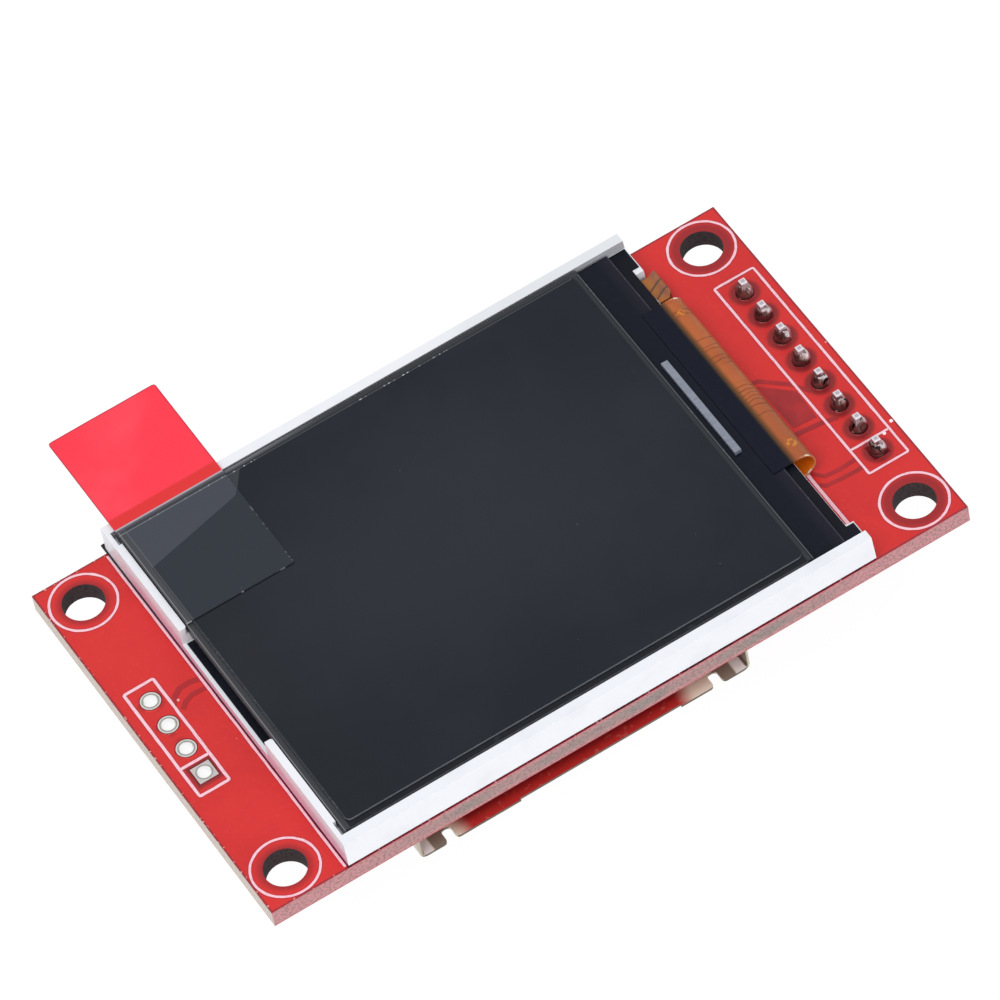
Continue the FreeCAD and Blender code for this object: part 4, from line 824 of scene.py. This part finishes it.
def offsets(points, closed, half):
    """The two sides of a line of even width, mitred at its corners."""
    left, right = [], []
    count = len(points)
    for index, (x, y) in enumerate(points):
        here = Vector((x, y))
        before = Vector(points[index - 1]) if index or closed else None
        after = Vector(points[(index + 1) % count]) if index < count - 1 or closed else None
        into = (here - before).normalized() if before is not None else (after - here).normalized()
        out = (after - here).normalized() if after is not None else into
        normal = Vector((-into.y - out.y, into.x + out.x)).normalized()
        reach = half / max(MITRE_LIMIT, normal.dot(Vector((-into.y, into.x))))
        left.append(here + normal * reach)
        right.append(here - normal * reach)
    return left, right


WOBBLE_GRAIN = 1.9
WOBBLE_SIDE = 7.0


def stroke(mesh, points, width, level, wobble, closed=False):
    """A printed line or a track: a thin strip along points, its edges slightly uneven by the wobble."""
    rows = []
    for sides in zip(*offsets(points, closed, width / 2)):
        row = []
        for side, place in enumerate(sides):
            at = Vector((place.x * WOBBLE_GRAIN, place.y * WOBBLE_GRAIN, side * WOBBLE_SIDE))
            shift = noise.noise_vector(at) * wobble
            row += [mesh.verts.new((place.x + shift.x, place.y + shift.y, height)) for height in level]
        rows.append(row)
    for here, there in zip(rows, rows[1:] + rows[:1] if closed else rows[1:]):
        for first, second in ((0, 1), (1, 3), (3, 2), (2, 0)):
            mesh.faces.new((here[first], here[second], there[second], there[first]))
    if not closed:
        mesh.faces.new([rows[0][corner] for corner in (0, 1, 3, 2)])
        mesh.faces.new([rows[-1][corner] for corner in (0, 2, 3, 1)])


def ring_points(x, y, radius, count=72):
    """Points round a circle."""
    turns = (2 * math.pi * index / count for index in range(count))
    return [(x + radius * math.cos(turn), y + radius * math.sin(turn)) for turn in turns]


def closely(points, step, closed=False):
    """The same line with points added so that none lie further apart than a step."""
    dense = []
    last = len(points) if closed else len(points) - 1
    for index in range(last):
        start, end = Vector(points[index]), Vector(points[(index + 1) % len(points)])
        parts = max(1, math.ceil((end - start).length / step))
        dense += [tuple(start.lerp(end, part / parts)) for part in range(parts)]
    if not closed:
        dense.append(tuple(points[-1]))
    return dense


BOX_STEP = 0.6
BOX_CORNER = 0.12
CORNER_TURNS = (0, 30, 60, 90)


def box_points(x_low, y_low, x_high, y_high):
    """Points round a rectangle with slightly rounded corners, close enough together to wobble."""
    left, right, near, far = x_low + BOX_CORNER, x_high - BOX_CORNER, y_low + BOX_CORNER, y_high - BOX_CORNER
    points = []
    for x, y, start in ((right, near, -90), (right, far, 0), (left, far, 90), (left, near, 180)):
        for part in CORNER_TURNS:
            turn = math.radians(start + part)
            points.append((x + BOX_CORNER * math.cos(turn), y + BOX_CORNER * math.sin(turn)))
    return closely(points, BOX_STEP, True)


INK_THICKNESS = 0.025
INK_WIDTH = 0.19
INK_FRINGE = 0.1
FRINGE_THICKNESS = 0.012
INK_WOBBLE = 0.03
MOUNT_RING_RADIUS = 2.5
BARE_BOX_EXTRA = 0.04
OUTLINE_EXTRA = 0.07
OUTLINE_MARGIN = 0.25
OUTLINE_STEP = 0.8
RIGHT_OUTLINE_X = 21.38
RIGHT_OUTLINE_NEAR = -14.3


def mount_rings(mesh, width, level):
    """A printed ring round each mounting hole."""
    for side_x in (-1, 1):
        for side_y in (-1, 1):
            points = ring_points(side_x * MOUNT_X, side_y * MOUNT_Y, MOUNT_RING_RADIUS)
            stroke(mesh, points, width, level, INK_WOBBLE, closed=True)


def legend_lines(mesh, level, extra):
    """Rings round the mounting holes, boxes round both rows and the outline of the display."""
    mount_rings(mesh, INK_WIDTH + extra, level)
    for box, divider, width in (
        (HEADER_BOX, HEADER_DIVIDER_Y, INK_WIDTH),
        (BARE_BOX, BARE_DIVIDER_Y, INK_WIDTH + BARE_BOX_EXTRA),
    ):
        stroke(mesh, box_points(*box), width + extra, level, INK_WOBBLE, closed=True)
        across = closely([(box[0] + width / 2, divider), (box[2] - width / 2, divider)], BOX_STEP)
        stroke(mesh, across, width + extra, level, INK_WOBBLE)
    for x, near, far, width in (
        (LEFT_OUTLINE_X, BOARD_LOW.y + OUTLINE_MARGIN, BOARD_HIGH.y - OUTLINE_MARGIN, INK_WIDTH),
        (RIGHT_OUTLINE_X, RIGHT_OUTLINE_NEAR, RIBBON_LOW.y + OUTLINE_MARGIN, INK_WIDTH + OUTLINE_EXTRA),
    ):
        stroke(mesh, closely([(x, near), (x, far)], OUTLINE_STEP), width + extra, level, INK_WOBBLE)


def front_legend():
    """The printed lines, over a wider band of painted shade that shows along both their edges."""
    for name, thickness, extra, material in (
        ("front_legend", INK_THICKNESS, 0.0, INK),
        ("front_legend_painted_shade", FRINGE_THICKNESS, INK_FRINGE, ink_edge_shade_paint()),
    ):
        mesh = bmesh.new()
        legend_lines(mesh, (BOARD_TOP, BOARD_TOP + thickness), extra)
        piece(name, mesh, material)


BACK_MARGIN = 0.5
BACK_HEADER_HALF = 1.75
BACK_BOX_GAP = 0.2
SMALL_PART_MARGINS = {"resistor_bodies": 1.2, "capacitor_bodies": 1.2, "regulator_body": 1.5}


def back_legend():
    """Printed outlines on the underside, where the photograph can't see: usual ones for such a board."""
    mesh = bmesh.new()
    level = (BOARD_BACK - INK_THICKNESS, BOARD_BACK)
    mount_rings(mesh, INK_WIDTH, level)
    boxes = [
        (HEADER_X - BACK_HEADER_HALF, HEADER_BOX[1], HEADER_X + BACK_HEADER_HALF, HEADER_BOX[3]),
        BARE_BOX,
        (SHELL_LOW.x, SHELL_HIGH.y + BACK_BOX_GAP, SHELL_HIGH.x, CONTACTS_END.y + BACK_MARGIN),
    ]
    for name, margin in SMALL_PART_MARGINS.items():
        low, high = node_box(name)
        boxes.append((low.x - margin, low.y - BACK_MARGIN, high.x + margin, high.y + BACK_MARGIN))
    for box in boxes:
        stroke(mesh, box_points(*box), INK_WIDTH, level, INK_WOBBLE, closed=True)
    piece("back_legend", mesh, INK)


TRACK_THICKNESS = 0.018
TRACK_WOBBLE = 0.02
FRONT_TRACK_STEP = 0.5
FRONT_COPPER = ((22.7, 1.15), (22.82, -3.6), (24.69, -3.77), (24.78, -0.91))
FRONT_TRACKS = (
    (0.35, (22.0, 1.62), (23.0, 1.55), (24.74, -0.13), (25.6, -1.5)),
    (0.4, (22.3, -4.15), (24.7, -4.42), (25.9, -4.7)),
    (0.34, (21.6, -7.75), (22.29, -8.55), (23.4, -8.7), (24.9, -8.6)),
    (0.34, (21.5, -8.95), (22.01, -9.37), (24.42, -9.54), (24.95, -9.5)),
    (0.45, (-22.73, 3.3), (-23.64, 3.57), (-24.5, 3.5), (-25.1, 3.1), (-25.6, 2.5)),
    (0.4, (-22.9, 2.46), (-24.06, 2.49), (-24.7, 2.25), (-25.2, 1.8)),
)


def front_tracks():
    """Copper under the mask that shows as darker red beside the header and the bare holes."""
    mesh = bmesh.new()
    level = (BOARD_TOP, BOARD_TOP + TRACK_THICKNESS)
    skin(mesh, [[(*point, height) for point in FRONT_COPPER] for height in level])
    for width, *points in FRONT_TRACKS:
        stroke(mesh, closely(points, FRONT_TRACK_STEP), width, level, TRACK_WOBBLE)
    piece("front_tracks", mesh, TRACE)


BACK_TRACK_WIDTH = 0.3
BACK_TRACK_STEP = 0.8
LANE_STEP = 0.62
LANE_BEND = 0.4
LANE_COUNT = 4
CONTACT_STEP = 2.5
RESISTOR_STEP = 1.7
PAD_GAP = 0.9
FAN_STEP = 0.55


def back_track_lines():
    """Points of each track: from the card contacts, from the header and from the bare holes."""
    low, high = node_box("resistor_bodies")
    for index in range(LANE_COUNT):
        later = LANE_COUNT - 1 - index
        lane = CONTACTS_END.y + BACK_MARGIN + 0.5 + LANE_STEP * index
        start = CONTACTS_END.x - CONTACT_STEP * (index + 2)
        end = low.x - 1.1 - LANE_STEP * later
        yield [(start, CONTACTS_END.y), (start, lane - LANE_BEND), (start + LANE_BEND, lane),
               (end - LANE_BEND, lane), (end, lane - LANE_BEND), (end, high.y - RESISTOR_STEP * later)]
    for index in range(PIN_COUNT):
        y = HEADER_FIRST_Y + PITCH * index
        shift = (index - (PIN_COUNT - 1) / 2) * FAN_STEP
        bend = (high.x + HEADER_X) / 2 + abs(shift)
        yield [(HEADER_X - PAD_GAP, y), (bend + abs(shift) * 0.5, y), (bend - PAD_GAP, y - shift),
               (high.x + PAD_GAP, y - shift)]
    for index in range(BARE_COUNT):
        y = BARE_FIRST_Y + PITCH * index
        yield [(BARE_X + PAD_GAP, y), (SHELL_LOW.x - 3.2, y), (SHELL_LOW.x - 2.2, y + 1.0),
               (SHELL_LOW.x + 1.0, y + 1.0)]


def back_tracks():
    """Copper under the mask of the underside."""
    mesh = bmesh.new()
    level = (BOARD_BACK - TRACK_THICKNESS, BOARD_BACK)
    for points in back_track_lines():
        stroke(mesh, closely(points, BACK_TRACK_STEP), BACK_TRACK_WIDTH, level, TRACK_WOBBLE)
    piece("back_tracks", mesh, TRACE)


# Place and radius of each small tented via, then its profile as a share of the radius and a height.
VIAS = ((28.77, -7.28, 0.15), (27.77, -7.91, 0.15), (28.85, 1.54, 0.1), (-25.09, 2.7, 0.12))
VIA_PROFILE = ((1.0, 0.0), (0.85, 0.03), (0.5, 0.035), (0.25, 0.012))
VIA_SIDES = 24


def front_vias():
    """Small tented vias: low domed rings with a pinhole."""
    mesh = bmesh.new()
    for x, y, radius in VIAS:
        skin(mesh, [[(*point, BOARD_TOP + height) for point in ring_points(x, y, radius * share, VIA_SIDES)]
                    for share, height in VIA_PROFILE])
    smooth(piece("front_vias", mesh, via_paint()))


# Profile of a solder joint: height over the pad as a share of its full height, and radius.
JOINT_HEIGHT = 1.0
JOINT_PROFILE = (
    (0.0, 0.70), (0.05, 0.69), (0.14, 0.67), (0.26, 0.66), (0.38, 0.645), (0.5, 0.615), (0.62, 0.57),
    (0.74, 0.51), (0.85, 0.45), (0.94, 0.4), (1.0, 0.34),
)
JOINT_SIDES = 40
JOINT_LEAN = 0.08
JOINT_SWELL = (0.92, 1.06)
JOINT_LUMPS = ((1.1, 0.14), (3.1, 0.05))


def joint_rows(y, seed):
    """Rings of points round one pin, level by level, leaning and lumpy in their own way."""
    draw = random.Random(seed)
    lean = Vector((draw.uniform(-JOINT_LEAN, JOINT_LEAN), draw.uniform(-JOINT_LEAN, JOINT_LEAN)))
    swell = draw.uniform(*JOINT_SWELL)
    for share, radius in JOINT_PROFILE:
        fade = math.sin(math.pi * min(1.0, share * 1.05 + 0.08))
        row = []
        for way_x, way_y in ring_points(0.0, 0.0, 1.0, JOINT_SIDES):
            at = Vector((way_x * 1.3, way_y * 1.3, share * 1.6 + seed * 3.7))
            lump = sum(noise.noise(at * grain) * depth for grain, depth in JOINT_LUMPS)
            reach = radius * (swell + lump * fade)
            height = COPPER_TOP + JOINT_HEIGHT * share * (1 + 0.1 * noise.noise(at * 1.7))
            x = HEADER_X + way_x * reach + lean.x * share
            row.append((x, y + way_y * reach + lean.y * share, height))
        yield row


def solder_joints():
    """Every header joint, a bead of solder that froze round its pin."""
    mesh = bmesh.new()
    for index in range(PIN_COUNT):
        skin(mesh, joint_rows(HEADER_FIRST_Y + PITCH * index, index + 1))
    smooth(piece("header_solder", mesh, SOLDER, ("solder_joints",)))


# Profile of a pin's end: height over the pin's top, and half the width.
PIN_END_PROFILE = ((-0.75, 0.335), (-0.41, 0.335), (-0.02, 0.25), (0.02, 0.22))
SQUARE_CORNERS = ((-1, -1), (1, -1), (1, 1), (-1, 1))


def pin_ends():
    """The pins' ends, tinned as they were dipped."""
    mesh = bmesh.new()
    for index in range(PIN_COUNT):
        y = HEADER_FIRST_Y + PITCH * index
        skin(mesh, [[(HEADER_X + half * side_x, y + half * side_y, PIN_HIGH.z + height)
                     for side_x, side_y in SQUARE_CORNERS] for height, half in PIN_END_PROFILE])
    piece("header_pin_ends", mesh, pin_end_paint())


TAB_CORNER = 0.2
TAB_COLUMNS, TAB_ROWS = 36, 80
TAB_WAVE = 0.07
TAB_RIPPLES = ((0.16, 0.22, 3.1, 1.0), (0.4, 0.3, 8.0, 0.4))


def wave_depth(x, y):
    """How far the free part of the tab dips below flat."""
    free = max(0.0, min(1.0, (y - FRAME_HIGH.y) / 1.5))
    ripple = sum(noise.noise(Vector((x * along, y * across, layer))) * size
                 for along, across, layer, size in TAB_RIPPLES)
    return free * TAB_WAVE * (0.5 + 0.5 * max(-1.0, min(1.0, ripple * 1.6)))


def tab_edge(x, y):
    """Pull a point of the tab in at its two rounded far corners."""
    corner_y = TAB_HIGH.y - TAB_CORNER
    for corner_x, side in ((TAB_LOW.x + TAB_CORNER, -1), (TAB_HIGH.x - TAB_CORNER, 1)):
        if y > corner_y and (x - corner_x) * side > 0:
            way = Vector((x - corner_x, y - corner_y))
            if way.length > TAB_CORNER:
                way *= TAB_CORNER / way.length
            return corner_x + way.x, corner_y + way.y
    return x, y


def tab_grid(mesh, level):
    """Rows of points over the tab at one level, from its near side to its far side."""
    grid = []
    for row in range(TAB_ROWS + 1):
        y = TAB_LOW.y + (TAB_HIGH.y - TAB_LOW.y) * row / TAB_ROWS
        places = [tab_edge(TAB_LOW.x + (TAB_HIGH.x - TAB_LOW.x) * column / TAB_COLUMNS, y)
                  for column in range(TAB_COLUMNS + 1)]
        grid.append([mesh.verts.new((*place, level - wave_depth(*place))) for place in places])
    return grid


def pull_tab():
    """The tab as a thin, faintly rippled strip."""
    mesh = bmesh.new()
    low, high = tab_grid(mesh, TAB_LOW.z), tab_grid(mesh, TAB_HIGH.z)
    rows, columns = range(TAB_ROWS), range(TAB_COLUMNS)
    for grid in (low, high):
        for row in rows:
            for column in columns:
                mesh.faces.new((grid[row][column], grid[row][column + 1],
                                grid[row + 1][column + 1], grid[row + 1][column]))
    rim = [(row, 0) for row in rows] + [(TAB_ROWS, column) for column in columns]
    rim += [(TAB_ROWS - row, TAB_COLUMNS) for row in rows]
    rim += [(0, TAB_COLUMNS - column) for column in columns]
    for (row, column), (next_row, next_column) in zip(rim, rim[1:] + rim[:1]):
        mesh.faces.new((low[row][column], low[next_row][next_column],
                        high[next_row][next_column], high[row][column]))
    piece("pull_tab_strip", mesh, TAB, ("pull_tab",))


front_legend()
front_tracks()
front_vias()
back_legend()
back_tracks()
solder_joints()
pin_ends()
pull_tab()


# Floor, light and camera

FLOOR_HALF = 1.5
FLOOR_GREY = 0.9
FLOOR_GLOW = 1.045
FLOOR_WHITENESS = 0.92
SKY_COLOUR = (0.97, 0.98, 1.0, 1)
SKY_STRENGTH = 0.55


def looked_at(tree):
    """1 where the camera, a reflection or a look through clear things sees it, 0 where it lights the part."""
    path = tree.nodes.new("ShaderNodeLightPath")
    seen = path.outputs["Is Camera Ray"]
    for ray in ("Is Glossy Ray", "Is Transmission Ray"):
        step = tree.nodes.new("ShaderNodeMath")
        step.operation = "MAXIMUM"
        tree.links.new(seen, step.inputs[0])
        tree.links.new(path.outputs[ray], step.inputs[1])
        seen = step.outputs[0]
    return seen


def blend(tree, share, first, second, output):
    """Send a mix of two shaders to the output."""
    mix = tree.nodes.new("ShaderNodeMixShader")
    for source, socket in zip((share, first.outputs[0], second.outputs[0]), mix.inputs):
        tree.links.new(source, socket)
    tree.links.new(mix.outputs[0], tree.nodes[output].inputs["Surface"])


def floor():
    """A plain white floor under the header pins. What the camera sees of it is white, with a soft shadow."""
    mesh = bpy.data.meshes.new("floor")
    corners = [(FLOOR_HALF * side_x, FLOOR_HALF * side_y, CAD_BOX[0].z) for side_x, side_y in SQUARE_CORNERS]
    mesh.from_pydata(corners, [], [(0, 1, 2, 3)])
    material = bpy.data.materials.new("floor_white")
    material.use_nodes = True
    tree = material.node_tree
    shader = tree.nodes["Principled BSDF"]
    shader.inputs["Base Color"].default_value = (FLOOR_GREY, FLOOR_GREY, FLOOR_GREY, 1)
    shader.inputs["Roughness"].default_value = 0.9
    shader.inputs["Specular IOR Level"].default_value = 0.0
    glow = tree.nodes.new("ShaderNodeEmission")
    glow.inputs["Strength"].default_value = FLOOR_GLOW
    share = tree.nodes.new("ShaderNodeMath")
    share.operation = "MULTIPLY"
    share.inputs[1].default_value = FLOOR_WHITENESS
    tree.links.new(looked_at(tree), share.inputs[0])
    blend(tree, share.outputs[0], shader, glow, "Material Output")
    mesh.materials.append(material)
    thing = bpy.data.objects.new("floor", mesh)
    bpy.context.scene.collection.objects.link(thing)


def world():
    """Even studio light from all round, white where the camera or a reflection looks at it."""
    backdrop = bpy.data.worlds.new("studio")
    backdrop.use_nodes = True
    tree = backdrop.node_tree
    light = tree.nodes["Background"]
    light.inputs["Color"].default_value = SKY_COLOUR
    light.inputs["Strength"].default_value = SKY_STRENGTH
    white = tree.nodes.new("ShaderNodeBackground")
    white.inputs["Strength"].default_value = 1.0
    blend(tree, looked_at(tree), light, white, "World Output")
    bpy.context.scene.world = backdrop


# Each soft box: name, place and width in metres, and power in watts.
LAMPS = (("key", (-0.25, -0.15, 0.6), 0.5, 2.2), ("front", (0.05, -0.6, 0.25), 0.4, 1.1))


def lamp(name, place, size, power):
    """A square soft box that looks at the middle of the part."""
    data = bpy.data.lights.new(name, "AREA")
    data.shape = "SQUARE"
    data.size = size
    data.energy = power
    thing = bpy.data.objects.new(name, data)
    thing.location = place
    thing.rotation_euler = (-Vector(place)).to_track_quat("-Z", "Y").to_euler()
    bpy.context.scene.collection.objects.link(thing)


CAMERA_PLACE = Vector((-149.016, -383.498, 545.775)) * MM
CAMERA_AIM = Vector((2.533, 3.811, 1.6)) * MM
CAMERA_LENS = 345.21
CAMERA_SENSOR = 36.0
CAMERA_ROLL = math.radians(-12.675)


def camera():
    """The photograph's view: high over the near left corner, through a long lens, rolled a little."""
    data = bpy.data.cameras.new("camera")
    data.lens = CAMERA_LENS
    data.sensor_width = CAMERA_SENSOR
    data.clip_start = 0.01
    data.clip_end = 10.0
    thing = bpy.data.objects.new("camera", data)
    forward = (CAMERA_AIM - CAMERA_PLACE).normalized()
    level_right = forward.cross(Vector((0, 0, 1))).normalized()
    level_up = level_right.cross(forward)
    right = math.cos(CAMERA_ROLL) * level_right + math.sin(CAMERA_ROLL) * level_up
    up = right.cross(forward)
    turn = Matrix((right, up, -forward)).transposed().to_4x4()
    thing.matrix_world = Matrix.Translation(CAMERA_PLACE) @ turn
    bpy.context.scene.collection.objects.link(thing)
    bpy.context.scene.camera = thing


floor()
world()
for values in LAMPS:
    lamp(*values)
camera()
bpy.context.scene.view_settings.view_transform = "Standard"
